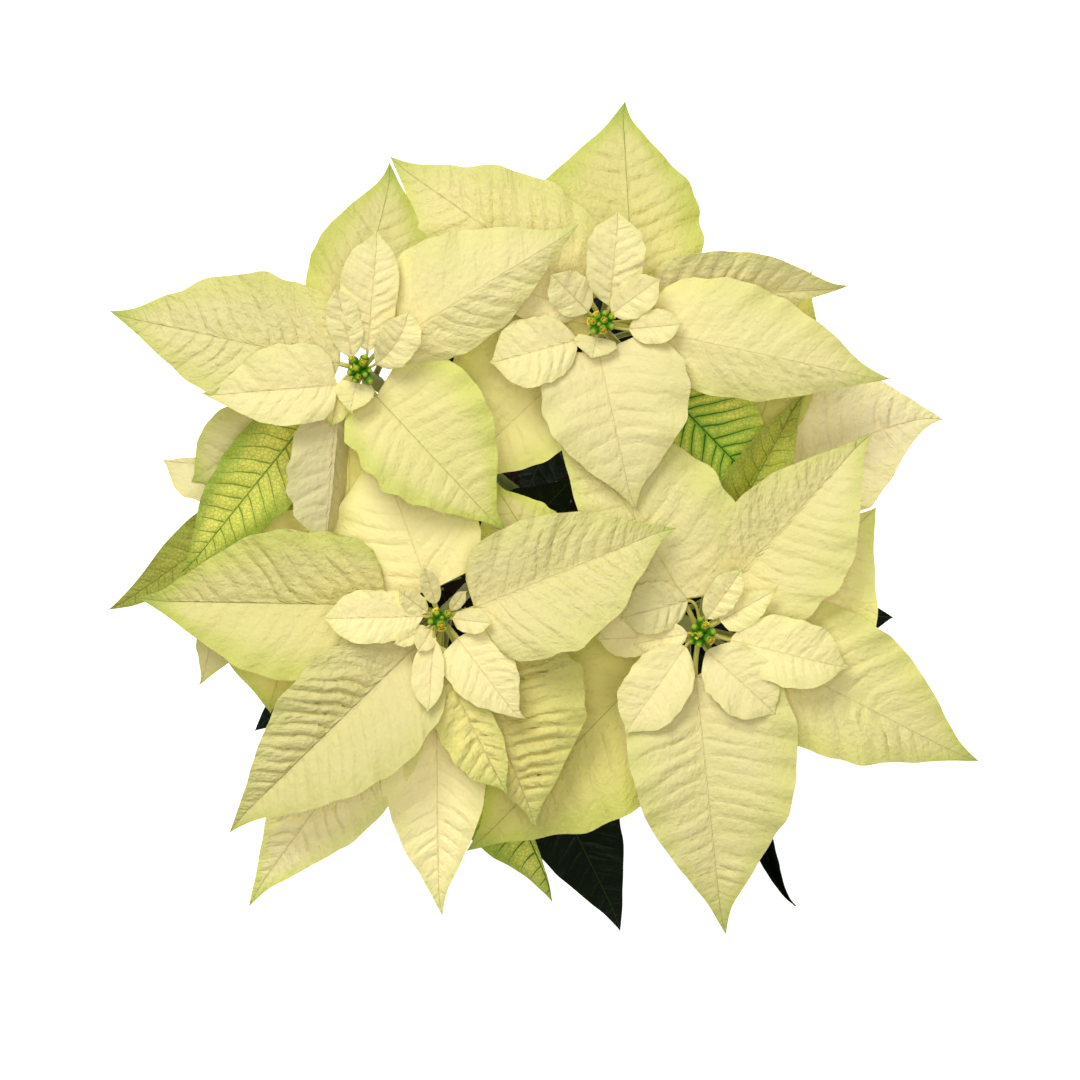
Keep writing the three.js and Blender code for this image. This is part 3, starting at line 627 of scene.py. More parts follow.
def shoot_path(head, count=120):
    """The line of a shoot, from the main stem's axis to the underside of its head's core."""
    x, y, _ = head["at"]
    end = head_point(head, CORE_TOP - CORE_LENGTH - GAP)
    rise = end[2] - STEM_TOP
    bends = [(out * x, out * y, STEM_TOP + up * rise) for out, up in SHOOT_BENDS]
    return catmull_rom([(0, 0, STEM_TOP - FORK_DEPTH), *bends, end], count)


# ---------------------------------------------------------------- blades

# Tints that a blade's points carry; light among them is partly painted light and shade, and deep partly
# painted olive shade.
BLADE_TINTS_AND_PAINTED_LIGHT = ("green", "beige", "pale", "deep", "light")
HALF_COLUMNS = {"ovate": 11, "heart": 11, "small": 8, "leaf": 11}
SEED_STEP = 7.3
OUTLINE_STEPS = 1500
SPARE_ROWS = 10
MARGIN_WAVES = 6
MARGIN_UNEVENNESS = 0.011
HOOK_START = 0.86
HOOK_LENGTH = 0.14
# Shares of a half width by which the margin ruffles and each half bulges.
RUFFLE = 0.03
CUPPING = 0.05
RIB_DEPTH = 1.1
RIB_TAPER = 0.85
# By how many veins the left side's are ahead of the right side's, so that they leave in turns.
LEFT_VEINS_AHEAD = 0.45


def columns_across(count):
    """Places across a blade, closer together at the midrib."""
    half = np.linspace(0, 1, count)
    half = 0.4 * half + 0.6 * half**2
    return np.concatenate([-half[:0:-1], half])


def placed(spec, head):
    """A blade moved from its head's middle to its place in the plant."""
    moved = {key: tuple(np.add(spec[key], head["at"])) for key in ("base", "tip")}
    return {**spec, **moved}


def blade_rows(spec, length):
    """Rows that follow the side veins: the place of each on the midrib, the place of its outer end, its
    share of the half width, and the number of side veins up to it."""
    outline = np.array(OUTLINES[spec["outline"]], float)
    run = np.linspace(0, 1, OUTLINE_STEPS)
    end = smooth_through(outline[:, 0], outline[:, 1], run)
    share = np.maximum(smooth_through(outline[:, 0], outline[:, 2], run), 0)
    lead = VEIN_LEAD[spec["outline"]] * share * sum(spec["half"]) / 2 / length
    start = np.maximum.accumulate(np.maximum(end - lead, 0)) * 0.96 + 0.04 * run
    start = start / start[-1]
    veins = (0.75 * start + 0.25 * run) * length / spec["gap"]
    rows = int(ROWS_PER_VEIN * veins[-1]) + SPARE_ROWS
    even = np.linspace(0, veins[-1], rows)
    return [np.interp(even, veins, values) for values in (start, end, share)] + [even]


def uneven_margin(end, draw):
    """How much a margin stands out along a blade."""
    waves = (
        MARGIN_UNEVENNESS * draw.normal() * np.sin((2.5 + 2.6 * k) * math.pi * end + draw.uniform(0, 6))
        for k in range(MARGIN_WAVES)
    )
    return (1 + sum(waves))[:, None]


def blade_surface(spec, seed):
    """A blade's middle surface: points, the direction that its face looks, and its own coordinates."""
    midrib = midrib_of(spec)
    length = steps_of(cubic(midrib, np.linspace(0, 1, 60))[0]).sum()
    place, end, share, vein = blade_rows(spec, length)
    share, vein = share[:, None], vein[:, None]
    draw = np.random.default_rng(seed)

    across = columns_across(HALF_COLUMNS[spec["outline"]])[None, :]
    reach = np.abs(across)
    on_left = across >= 0
    half = np.where(on_left, *spec["half"])
    lobed = np.where(on_left, *[uneven_margin(end, draw) for _ in range(2)])
    width = reach * np.maximum(share * half * (1 + (lobed - 1) * reach**2), LEAST_HALF_WIDTH)
    row_place = place[:, None] + (end - place)[:, None] * reach**1.25
    inside = np.clip(row_place, 0, 1)
    at, tangent = cubic(midrib, inside)
    left = unit(np.cross(UP, tangent))
    normal = np.cross(tangent, left)
    outward = np.where(on_left[..., None], left, -left)
    tilt = np.radians(np.where(on_left, *spec["tilt"])) * np.minimum(1, 6 * reach)
    at = at + tangent * ((row_place - inside) * length)[..., None]
    at = at + outward * (np.cos(tilt) * width)[..., None]
    past_start = np.clip((row_place - HOOK_START) / HOOK_LENGTH, 0, 1)
    at = at + left * (spec["hook"] * draw.choice([-1, 1]) * past_start**2)[..., None]

    phase = sum(spec["half"]) + spec["tip"][2] - spec["base"][2] + np.where(on_left, 0, 2)
    swell = np.sin(2 * np.pi * EDGE_WAVES * place[:, None] + phase)
    ruffle = np.sin(np.pi * vein + 2 * phase + draw.uniform(0, 6))
    lift = np.sin(tilt) * width + CUPPING * width * np.sin(np.pi * reach)
    lift = lift + spec["wave"] * width * swell * reach
    lift = lift + RUFFLE * width * ruffle * reach**3
    return {
        "points": at + normal * lift[..., None],
        "rise": normal * np.cos(tilt)[..., None] - outward * np.sin(tilt)[..., None],
        "place": row_place,
        "across": np.broadcast_to(across, width.shape),
        "vein": np.where(on_left, vein + LEFT_VEINS_AHEAD, vein),
        "width": width,
        "half": np.maximum(share * half, LEAST_HALF_WIDTH),
    }


def blade_mesh(spec, seed):
    """One closed thin blade with a rib under its midrib: points, faces and attributes, in metres."""
    sheet = blade_surface(spec, int(seed * 10))
    reach = np.abs(sheet["across"])
    edge = SHEET_THICKNESS / 2 + (MARGIN_THICKNESS - SHEET_THICKNESS) / 2 * reach**4
    rib = PETIOLE_RADIUS[spec["outline"]] * np.clip(1 - RIB_TAPER * sheet["place"], 0.1, 1)
    ridge = RIB_DEPTH * rib * np.exp(-((sheet["width"] / rib) ** 2))
    upper = sheet["points"] + sheet["rise"] * edge[..., None]
    lower = sheet["points"] - sheet["rise"] * (edge + ridge)[..., None]

    count = reach.size
    grid = np.arange(count).reshape(reach.shape)
    quads = np.stack([grid[:-1, :-1], grid[1:, :-1], grid[1:, 1:], grid[:-1, 1:]], -1).reshape(-1, 4)
    rim = np.concatenate([grid[0, :], grid[1:, -1], grid[-1, -2::-1], grid[-2:0:-1, 0]])
    after = np.roll(rim, -1)
    wall = np.stack([rim, after, after + count, rim + count], -1)
    faces = np.concatenate([quads, quads[:, ::-1] + count, wall])

    even = {key: spec[key] for key in BLADE_TINTS_AND_PAINTED_LIGHT}
    even.update(crinkle=spec["crinkle"] * MM, vein_gap=spec["gap"] * MM, own_number=seed)
    values = {key: np.full(2 * count, value) for key, value in even.items()}
    values.update({key: np.tile(np.ravel(sheet[key]), 2) for key in ("place", "across", "vein")})
    puff_left, puff_right = np.broadcast_to(spec["puff"], 2)
    values["puff"] = np.where(values["across"] >= 0, puff_left, puff_right) * MM
    values["rise"] = np.tile(sheet["rise"].reshape(-1, 3), (2, 1))
    values["half_width"] = np.tile(np.ravel(sheet["half"]), 2) * MM
    values["under"] = np.repeat([0.0, 1.0], count)
    points = np.concatenate([upper.reshape(-1, 3), lower.reshape(-1, 3)]) * MM
    return points, faces.tolist(), values


def relief_tree():
    """Raises the tissue between side veins and folds it finely."""
    wander_scale, patch_scale = 45.0, 36.0
    folds_along, folds_across, fold_height = 1.1, 2.6, 4.0
    full_width = 0.016
    inputs = {"Vein Wander": 1.1, "Groove Sharpness": 0.9, "Rib Lean": 0.08}
    tree, entry, leave = geometry_tree("quilted_blade", inputs)
    place = attribute(tree, "place")
    across = attribute(tree, "across")
    reach = maths("ABSOLUTE", across)
    own = attribute(tree, "own_number")
    spot = node(tree, "GeometryNodeInputPosition")
    drift = minus(noise(spot, wander_scale), 0.5)
    vein = plus(attribute(tree, "vein"), times(drift, entry["Vein Wander"]))
    skew = maths("SINE", times(vein, 2 * math.pi))
    leaning = plus(vein, times(skew, entry["Rib Lean"]))
    arc = maths("SINE", times(maths("FRACT", leaning), math.pi))
    rib = vector(maths("FLOOR", leaning), maths("SIGN", across), own)
    strong = ramp(node(tree, "ShaderNodeTexWhiteNoise", {"Vector": rib}), 0.0, 1.0, 0.55, 1.3)
    puff = minus(times(maths("POWER", arc, entry["Groove Sharpness"]), strong), 0.5)
    patchy = ramp(noise(spot, patch_scale, 1.0), 0.25, 0.75, 0.6, 1.7)
    height = times(times(puff, attribute(tree, "puff")), patchy)
    folds = vector(times(vein, folds_along), times(across, folds_across), own)
    fold = times(minus(noise(folds, 1.0), 0.5), times(attribute(tree, "crinkle"), fold_height))
    sides = times(ramp(reach, 0.0, 0.16), ramp(reach, 0.55, 1.0, 1.0, 0.1))
    ends = times(fall(place, 0.7, 0.97), ramp(place, -0.02, 0.1))
    roomy = ramp(attribute(tree, "half_width"), 0.0, full_width, 0.15, 1.0)
    height = times(plus(height, fold), times(sides, times(ends, roomy)))
    inputs = {"Geometry": entry["Geometry"], "Name": "vein", "Value": vein}
    kept = node(tree, "GeometryNodeStoreNamedAttribute", inputs, data_type="FLOAT", domain="POINT")
    offset = scaled(attribute(tree, "rise", "FLOAT_VECTOR"), height)
    moved = node(tree, "GeometryNodeSetPosition", {"Geometry": kept, "Offset": offset})
    return finished(tree, moved, leave, entry["Material"])


def blades_piece(name, specs, material, tree, node_name, slot):
    """The blades of one finish on one head, as one piece."""
    parts = [blade_mesh(spec, i * SEED_STEP + len(name)) for i, spec in enumerate(specs)]
    made = mesh_object(name, *joined_meshes(parts))
    settled(smoothed(grown(made, tree, material=material)), [node_name], slot)


# ---------------------------------------------------------------- stalks and stems

PETIOLE_FLARE = 0.35
PETIOLE_DEPTH = 0.9
# Shares of its thickness that a petiole keeps on its last stretch, inside its blade.
INTO_BLADE = [0.9, 0.75, 0.55, 0.3]
SCAR_RING = 0.05
SHOOT_SCAR_SPACING = 5.5
STEM_SCAR_SPACING = 13
NODE_SWELLING = 0.45
NODE_LENGTH = 2.2
# How much thinner the swept stems are than their solids, which leaves room for rings and roughness.
CORE_INSET = 0.25
STEM_INSET = 0.35
STUB_INSET = 0.3
STUB_FLARE = 0.25
# Tones from 0 for a young petiole to 1 for an old shoot or wood.
BRACT_PETIOLE_TONE = 0.15
TURNING_PETIOLE_TONE = 0.45
CORE_TONE = 0.5
SHOOT_TOP_TONE = 0.6
LEAF_PETIOLE_TONE = 0.75
OLD_TONE = 1.0


def stalk_tree():
    """Sweeps a round section along lines whose points hold a radius, and roughens it lightly."""
    tree, entry, leave = geometry_tree("swept_stalk", {"Sides": 10, "Roughness": 0.03, "Grain": 300.0})
    radius = attribute(tree, "stalk_radius")
    inputs = {
        "Curve": node(tree, "GeometryNodeMeshToCurve", {"Mesh": entry["Geometry"]}),
        "Profile Curve": node(
            tree, "GeometryNodeCurvePrimitiveCircle", {"Resolution": entry["Sides"], "Radius": 1.0}
        ),
        "Scale": radius,
        "Fill Caps": True,
    }
    tube = node(tree, "GeometryNodeCurveToMesh", inputs)
    spot = node(tree, "GeometryNodeInputPosition")
    bump = minus(noise(spot, entry["Grain"], 3.0), 0.5)
    bump = times(times(bump, times(radius, entry["Roughness"])), 2.0)
    offset = scaled(node(tree, "GeometryNodeInputNormal"), bump)
    tube = node(tree, "GeometryNodeSetPosition", {"Geometry": tube, "Offset": offset})
    return finished(tree, tube, leave, entry["Material"])


def swept(name, lines, tree, nodes, slot, **values):
    """Stalks along open lines, as one piece. A line is points in mm, radii in mm and a tone."""
    points, edges, radii, tones = [], [], [], []
    for line, radius, tone in lines:
        start = len(points)
        points.extend(np.asarray(line) * MM)
        radii.extend(np.broadcast_to(radius, len(line)) * MM)
        tones.extend(np.broadcast_to(tone, len(line)))
        edges.extend((start + i, start + i + 1) for i in range(len(line) - 1))
    made = mesh_object(name, points, [], {"stalk_radius": radii, "tone": tones}, edges)
    settled(smoothed(grown(made, tree, **values)), nodes, slot)


def petiole_line(spec, root):
    """A petiole from its root, into the start of its blade's midrib."""
    midrib = midrib_of(spec)
    base, tangent = cubic(midrib, 0.0)
    approach = base - tangent * PETIOLE_BEND * np.linalg.norm(root - base)
    stalk = quadratic((root, approach, base), np.linspace(0, 1, 14))
    radius = PETIOLE_RADIUS[spec["outline"]]
    stalk[-5:] -= UP * radius * np.linspace(0.2, PETIOLE_DEPTH, 5)[:, None]
    into = cubic(midrib, np.linspace(0.01, 0.1, len(INTO_BLADE)))[0] - UP * radius * PETIOLE_DEPTH
    swell = 1 + PETIOLE_FLARE * np.exp(-np.linspace(0, 8, len(stalk)))
    return np.concatenate([stalk, into]), np.concatenate([radius * swell, radius * np.array(INTO_BLADE)])


def bract_root(spec, head):
    """Where a bract's petiole leaves its head's core."""
    spread = math.hypot(*spec["base"][:2])
    lowest = head["at"][2] + CORE_TOP - CORE_LENGTH + CORE_RADIUS
    height = head["at"][2] + spec["base"][2] - PETIOLE_RISE - PETIOLE_SLOPE * spread
    return np.array([*head["at"][:2], max(height, lowest)])


def ringed(along, spacing, sharpness):
    """How thick a stem is along its length, with a raised ring where each old leaf stood."""
    return 1 + SCAR_RING * np.cos(along * 2 * math.pi / spacing) ** sharpness


def head_stalks(number, head, tree, material):
    """The thickened shoot end of a head, with its ringed scars, and the petioles of its bracts."""
    rise = np.linspace(0, CORE_LENGTH, 60)
    core = head_point(head, CORE_TOP - CORE_LENGTH) + rise[:, None] * UP
    lines = [(core, (CORE_RADIUS - CORE_INSET) * ringed(rise, SHOOT_SCAR_SPACING, 8), CORE_TONE)]
    for spec in head["bracts"]:
        tone = TURNING_PETIOLE_TONE if spec["finish"] == "turning" else BRACT_PETIOLE_TONE
        lines.append((*petiole_line(placed(spec, head), bract_root(spec, head)), tone))
    swept(f"bract_stalks_{number}", lines, tree, [f"bracts_{number}"], "bract", material=material, sides=12)


def leafy_stalks(number, head, tree, material):
    """A green shoot with swollen nodes, and the petioles of its leaves."""
    path = shoot_path(head)
    run = run_along(path)
    total = run[-1]
    kept = run >= STUB_LENGTH + GAP
    along = run[kept]
    radius = np.full(len(along), SHOOT_RADIUS)
    for spec in head["leaves"]:
        radius += NODE_SWELLING * np.exp(-(((along - spec["shoot"] * total) / NODE_LENGTH) ** 2))
    radius += (CORE_RADIUS - SHOOT_RADIUS) * np.clip((along - total + 8) / 5, 0, 1)
    lines = [(path[kept], radius, np.linspace(OLD_TONE, SHOOT_TOP_TONE, len(along)))]
    for spec in head["leaves"]:
        root = on_line(path, run, spec["shoot"] * total)
        lines.append((*petiole_line(placed(spec, head), root), LEAF_PETIOLE_TONE))
    nodes = [f"leafy_shoot_{number}"]
    swept(f"shoot_stalks_{number}", lines, tree, nodes, "leaf", material=material, sides=14)


def main_stem(tree, material):
    """The woody stem with its four stubs, ringed where the first leaves grew."""
    height = np.linspace(STEM_HOLE_FLOOR + GAP, STEM_TOP, 90)
    post = height[:, None] * UP
    crown = np.sqrt(np.clip(1 - ((height - STEM_TOP + 4) / 4.6).clip(0) ** 2, 0.15, 1))
    radius = (STEM_RADIUS - STEM_INSET) * ringed(height, STEM_SCAR_SPACING, 12) * crown
    lines = [(post, radius, OLD_TONE)]
    for head in HEADS:
        path = shoot_path(head)
        stub = path[run_along(path) <= STUB_LENGTH]
        flare = 1 + STUB_FLARE * np.exp(-np.linspace(0, 4, len(stub)))
        lines.append((stub, (STUB_RADIUS - STUB_INSET) * flare, OLD_TONE))
    values = {"material": material, "sides": 28, "roughness": 0.09, "grain": 420.0}
    swept("woody_stem", lines, tree, ["main_stem"], "bark", **values)


# ---------------------------------------------------------------- cyathia

# Profiles as radius and height in mm.
OPEN_CUP = [
    (0.8, 0), (0.9, 1.2), (1.6, 2.2), (2.15, 3.3), (2.35, 4.4), (2.25, 5.4), (1.95, 6.2), (1.5, 6.9),
    (1.2, CUP_TOP - 0.3), (1.0, CUP_TOP - 0.4), (0.95, CUP_TOP - 1.1),
]
CLOSED_CUP = [
    (0.8, 0), (0.9, 1.2), (1.5, 2.2), (2.0, 3.3), (2.2, 4.4), (2.1, 5.3), (1.75, 6.1), (1.45, 6.5),
    (1.3, 6.9), (0.9, 7.3), (0.4, CUP_TOP),
]
GLAND = [(0.3, -1.0), (0.95, -0.55), (1.25, 0.05), (1.4, 0.6), (1.15, 0.6), (0.8, 0.05), (0.25, -0.3)]
GLAND_WIDENING = (1, 1.3, 1)
GLAND_PLACE = (1.7, 0, 5.6)
GLAND_DIRECTION = (0.7, 0, 0.72)
ANTHER = [(0.22, -0.24), (0.36, 0), (0.22, 0.24)]
ANTHERS = 8
FILAMENT_TONE = 0.55
DISC = [(3.1, 0), (3.5, 0.5), (3.5, DISC_HEIGHT - 0.5), (2.9, DISC_HEIGHT + 0.2)]
DISC_TONE = 0.05
CUP_SPREAD = 0.3
SMALL_CUP_DROP = 3
LOBE_DEPTH = 0.07
LOBES = 5
# Whether each kind of cup flower is open, and how ripe its nectar gland is.
CUP_KINDS = [(False, 0), (True, 0.8), (True, 0), (False, 0.75), (True, 1.15)]


def turned_profile(profile, sides, wave=None):
    """Points and faces of a profile [radius, height] turned about Z, closed on the axis."""
    points, faces = [(0, 0, profile[0][1])], []
    for ring, (radius, height) in enumerate(profile):
        for i in range(sides):
            angle = 2 * math.pi * i / sides
            grow = 1 + (wave(angle, ring) if wave else 0)
            points.append((radius * grow * math.cos(angle), radius * grow * math.sin(angle), height))
    points.append((0, 0, profile[-1][1]))
    last = len(points) - 1
    last_ring = 1 + (len(profile) - 1) * sides
    for i in range(sides):
        j = (i + 1) % sides
        faces.append((0, 1 + j, 1 + i))
        for a in range(1, last_ring, sides):
            faces.append((a + i, a + j, a + sides + j, a + sides + i))
        faces.append((last_ring + i, last_ring + j, last))
    return np.array(points, float), faces


def turn_from_up(direction):
    """The rotation that takes +Z to a direction."""
    toward = unit(np.array(direction, float))
    side = np.cross(UP, toward)
    sine, cosine = np.linalg.norm(side), toward @ UP
    if sine < 1e-9:
        return np.eye(3)
    x, y, z = side / sine
    cross = np.array([[0, -z, y], [z, 0, -x], [-y, x, 0]])
    return np.eye(3) + sine * cross + (1 - cosine) * cross @ cross


def lobes(angle, ring):
    """The shallow lobes of a cup flower's upper rings."""
    return LOBE_DEPTH * math.cos(LOBES * angle) * (ring > 4)


def stamens(draw):
    """Threads with a ball at their ends, spread over an open cup's mouth."""
    for i in range(ANTHERS):
        angle = 2 * math.pi * i / ANTHERS + draw.uniform(-0.3, 0.3)
        out = draw.uniform(0.1, 0.8)
        foot = np.array([0.5 * out * math.cos(angle), 0.5 * out * math.sin(angle), CUP_TOP - 1.4])
        tip = np.array([1.1 * out * math.cos(angle), 1.1 * out * math.sin(angle), CUP_TOP])
        tip[2] += draw.uniform(-0.3, 0.4)
        turn = turn_from_up(tip - foot).T
        points, faces = turned_profile([(0.15, 0), (0.12, np.linalg.norm(tip - foot))], 5)
        yield points @ turn + foot, faces, {"tone": np.full(len(points), FILAMENT_TONE)}
        points, faces = turned_profile(ANTHER, 6)
        yield points @ turn + tip, faces, {"tone": np.full(len(points), draw.uniform(0.7, 1.0))}


def nectar_gland(ripeness):
    """The shallow two-lipped cup at a cup flower's side, with its filling."""
    points, faces = turned_profile(GLAND, 14)
    tones = [
        0.88 * ripeness if math.hypot(x, y) < 1.0 and z > -0.35 else 0.6 if z > 0.2 else 0.4
        for x, y, z in points
    ]
    points = points * GLAND_WIDENING @ turn_from_up(GLAND_DIRECTION).T + GLAND_PLACE
    return points, faces, {"tone": np.array(tones)}


def cyathium_shape(is_open, ripeness, draw):
    """One cup flower on its stalk, standing on the origin, in metres."""
    points, faces = turned_profile(OPEN_CUP if is_open else CLOSED_CUP, 20, lobes)
    # The top of each cup is toned lighter yellow-green: partly the bud's own lighter top, partly a painted
    # highlight.
    parts = [(points, faces, {"tone": 0.3 * np.clip(points[:, 2] / CUP_TOP * 4 - 3, 0, 1)})]
    if is_open:
        parts.extend(stamens(draw))
    if ripeness:
        parts.append(nectar_gland(ripeness))
    points, faces, values = joined_meshes(parts)
    return points * MM, faces, values


def cluster_tree():
    """Stands one of several cup flowers on each point, turned and sized as the point says."""
    tree, entry, leave = geometry_tree("cyathium_cluster", {"Cups": "NodeSocketCollection"})
    turn, size = (attribute(tree, name, "FLOAT_VECTOR") for name in ("turn", "size"))
    kind = attribute(tree, "kind", "INT")
    cups = stood_on(entry["Geometry"], entry["Cups"], turn, size, instance_index=kind)
    return finished(tree, cups, leave, entry["Material"])


def cup_kinds():
    """The cup flowers that a cluster draws from: closed buds, open ones, and some with a nectar gland."""
    draw = random.Random(11)
    group = bpy.data.collections.new("cup_kinds")
    for i, (is_open, ripeness) in enumerate(CUP_KINDS):
        made = mesh_object(f"cup_kind_{i}", *cyathium_shape(is_open, ripeness, draw))
        made.data.shade_smooth()
        bpy.context.scene.collection.objects.unlink(made)
        group.objects.link(made)
    return group


def cyathia(number, head, tree, cups, material):
    """A head's cluster of cup flowers, on its disc."""
    disc_foot = head_point(head, CORE_TOP + GAP)
    points, turns, sizes, kinds = [], [], [], []
    for x, y, kind, wide in head["cups"]:
        mouth = head_point(head, -CUP_DROP * (x * x + y * y) - SMALL_CUP_DROP * (1 - wide))
        mouth[:2] += (x, y)
        foot = disc_foot + CUP_SPREAD * (mouth - disc_foot)
        foot[2] = disc_foot[2] + DISC_HEIGHT / 2
        lean = unit(mouth - foot)
        points.append(foot * MM)
        turns.append((0, math.acos(lean[2]), math.atan2(lean[1], lean[0])))
        sizes.append((wide, wide, np.linalg.norm(mouth - foot) / CUP_TOP))
        kinds.append(kind)
    made = mesh_object(f"cyathium_cups_{number}", points, [], {"turn": turns, "size": sizes})
    made.data.attributes.new("kind", "INT", "POINT").data.foreach_set("value", kinds)
    settled(grown(made, tree, cups=cups, material=material), [f"cyathia_{number}"], "cyathium")

    points, faces = turned_profile(DISC, 24)
    tones = {"tone": np.full(len(points), DISC_TONE)}
    disc = smoothed(mesh_object(f"cyathium_disc_{number}", (points + disc_foot) * MM, faces, tones))
    disc.data.materials.append(material)
    settled(disc, [f"cyathia_{number}"], "cyathium")


# ---------------------------------------------------------------- pot and soil

POT_SLOPE = (POT_TOP_RADIUS - RIM_STEP - POT_BASE_RADIUS) / POT_HEIGHT
RIM_FOOT = POT_HEIGHT - RIM_HEIGHT
POT_SIDES = 120
POT_CORNER = 0.9
CORNER_STEPS = 4
FOOT_RING_WIDTH = 7
FOOT_RING_HEIGHT = 1.2
ON_AXIS = 0.001
# How far below the rim the points of the bead lie, and how far they stand out.
BEAD = [(14, 0), (13.4, 0.5), (11, 0.5), (10.4, 0)]

SOIL_SIDES = 110
SOIL_BEVEL = 2.4
LUMPS = 30
LUMP_SPREAD = 60
LUMP_RADIUS = 9
LUMP_HEIGHT = 1.1
SOIL_TONE = 0.2
PERLITE_TONE = 1.0
CRUMB_TONES = [0.15, 0.3, 0.2, 0.45, 0.25, 0.35, PERLITE_TONE]
ANY_TURN = (6.28, 6.28, 6.28)


def inner_radius(height):
    """The radius of the pot's inside at a height."""
    return POT_BASE_RADIUS - POT_WALL + POT_SLOPE * height


def on_wall(height, out=0):
    """A point of the pot's outside at a height, or further out."""
    return inner_radius(height) + POT_WALL + out, height


def rounded(profile, radius):
    """A profile with its corners rounded by short curves."""
    profile = np.array(profile, float)
    made = [profile[0]]
    for before, corner, after in zip(profile, profile[1:], profile[2:]):
        back = min(radius, 0.45 * np.linalg.norm(before - corner))
        ahead = min(radius, 0.45 * np.linalg.norm(after - corner))
        start = corner + back * unit(before - corner)
        stop = corner + ahead * unit(after - corner)
        for t in np.linspace(0, 1, CORNER_STEPS):
            made.append((1 - t) ** 2 * start + 2 * t * (1 - t) * corner + t * t * stop)
    return [*made, profile[-1]]


def drain_cutter():
    """Upright rods where the pot's drain holes go."""
    parts = []
    rod = [(DRAIN_HOLE_RADIUS, -5), (DRAIN_HOLE_RADIUS, POT_FLOOR + 5)]
    for i in range(DRAIN_HOLES):
        angle = 2 * math.pi * i / DRAIN_HOLES
        points, faces = turned_profile(rod, 24)
        shift = np.array([DRAIN_CIRCLE_RADIUS * math.cos(angle), DRAIN_CIRCLE_RADIUS * math.sin(angle), 0])
        parts.append(((points + shift) * MM, faces, {}))
    return mesh_object("drain_cutter", *joined_meshes(parts))


def pot(material):
    """A moulded pot with a stepped rim, a bead below it, a foot ring and drain holes."""
    profile = [
        (ON_AXIS, FOOT_RING_HEIGHT),
        (POT_BASE_RADIUS - FOOT_RING_WIDTH, FOOT_RING_HEIGHT),
        (POT_BASE_RADIUS - FOOT_RING_WIDTH - 1, 0),
        (POT_BASE_RADIUS - 1, 0),
        on_wall(4),
        *[on_wall(RIM_FOOT - depth, out) for depth, out in BEAD],
        on_wall(RIM_FOOT),
        (POT_TOP_RADIUS - 0.8, RIM_FOOT),
        (POT_TOP_RADIUS - 0.4, RIM_FOOT + 7),
        (POT_TOP_RADIUS, POT_HEIGHT - 2.4),
        (POT_TOP_RADIUS, POT_HEIGHT),
        (inner_radius(POT_HEIGHT), POT_HEIGHT),
        (inner_radius(RIM_FOOT), RIM_FOOT),
        (inner_radius(POT_FLOOR + 2), POT_FLOOR + 2),
        (inner_radius(POT_FLOOR) - 3, POT_FLOOR),
        (ON_AXIS, POT_FLOOR),
    ]
    points, faces = turned_profile(rounded(profile, POT_CORNER), POT_SIDES)
    body = mesh_object("nursery_pot", points * MM, faces)
    cutter = drain_cutter()
    modifier = body.modifiers.new("drain_holes", "BOOLEAN")
    modifier.operation = "DIFFERENCE"
    modifier.solver = "EXACT"
    modifier.object = cutter
    applied(body, modifier)
    bpy.data.objects.remove(cutter)
    smoothed(body, 40)
    body.data.materials.clear()
    body.data.materials.append(material)
    settled(body, ["pot"], "pot")


def crumb_tree():
    """Scatters crumbs over a surface, sunk into it, each turned and sized by a seeded draw."""
    inputs = {
        "Crumb": "NodeSocketCollection", "Density": 90000.0, "Smallest": 0.5, "Largest": 1.8, "Seed": 3,
    }
    tree, entry, leave = geometry_tree("soil_crumbs", inputs)
    soil_surface, seed = entry["Geometry"], entry["Seed"]
    up = node(tree, "ShaderNodeSeparateXYZ", {0: node(tree, "GeometryNodeInputNormal")}, out=2)
    top = maths("GREATER_THAN", up, 0.6)
    inputs = {"Mesh": soil_surface, "Selection": top, "Density": entry["Density"], "Seed": seed}
    dots = node(tree, "GeometryNodeDistributePointsOnFaces", inputs)
    inputs = {2: entry["Smallest"], 3: entry["Largest"], "Seed": seed}
    size = node(tree, "FunctionNodeRandomValue", inputs, out=1)
    inputs = {0: (0, 0, 0), 1: ANY_TURN, "Seed": seed}
    turn = node(tree, "FunctionNodeRandomValue", inputs, data_type="FLOAT_VECTOR")
    both = tree.nodes.new("GeometryNodeJoinGeometry")
    tree.links.new(stood_on(dots, entry["Crumb"], turn, size), both.inputs[0])
    tree.links.new(soil_surface, both.inputs[0])
    return finished(tree, both.outputs[0], leave, entry["Material"])


def crumb_kinds():
    """Lumps of peat and bark, and rounder grains of perlite, about 1 mm across, marked by their tone."""
    draw = random.Random(5)
    group = bpy.data.collections.new("crumb_kinds")
    for i, tone in enumerate(CRUMB_TONES):
        shape = bmesh.new()
        bmesh.ops.create_icosphere(shape, subdivisions=1, radius=1)
        stretch = (1, 1, 1)
        if tone != PERLITE_TONE:
            stretch = (draw.uniform(0.8, 1.6), draw.uniform(0.5, 0.9), 0.6)
        for vertex in shape.verts:
            jitter = draw.uniform(0.75, 1.15)
            vertex.co = [c * s * jitter * MM for c, s in zip(vertex.co, stretch)]
        mesh = bpy.data.meshes.new(f"crumb_kind_{i}")
        shape.to_mesh(mesh)
        shape.free()
        mesh.attributes.new("tone", "FLOAT", "POINT").data.foreach_set("value", [tone] * len(mesh.vertices))
        group.objects.link(bpy.data.objects.new(mesh.name, mesh))
    return group


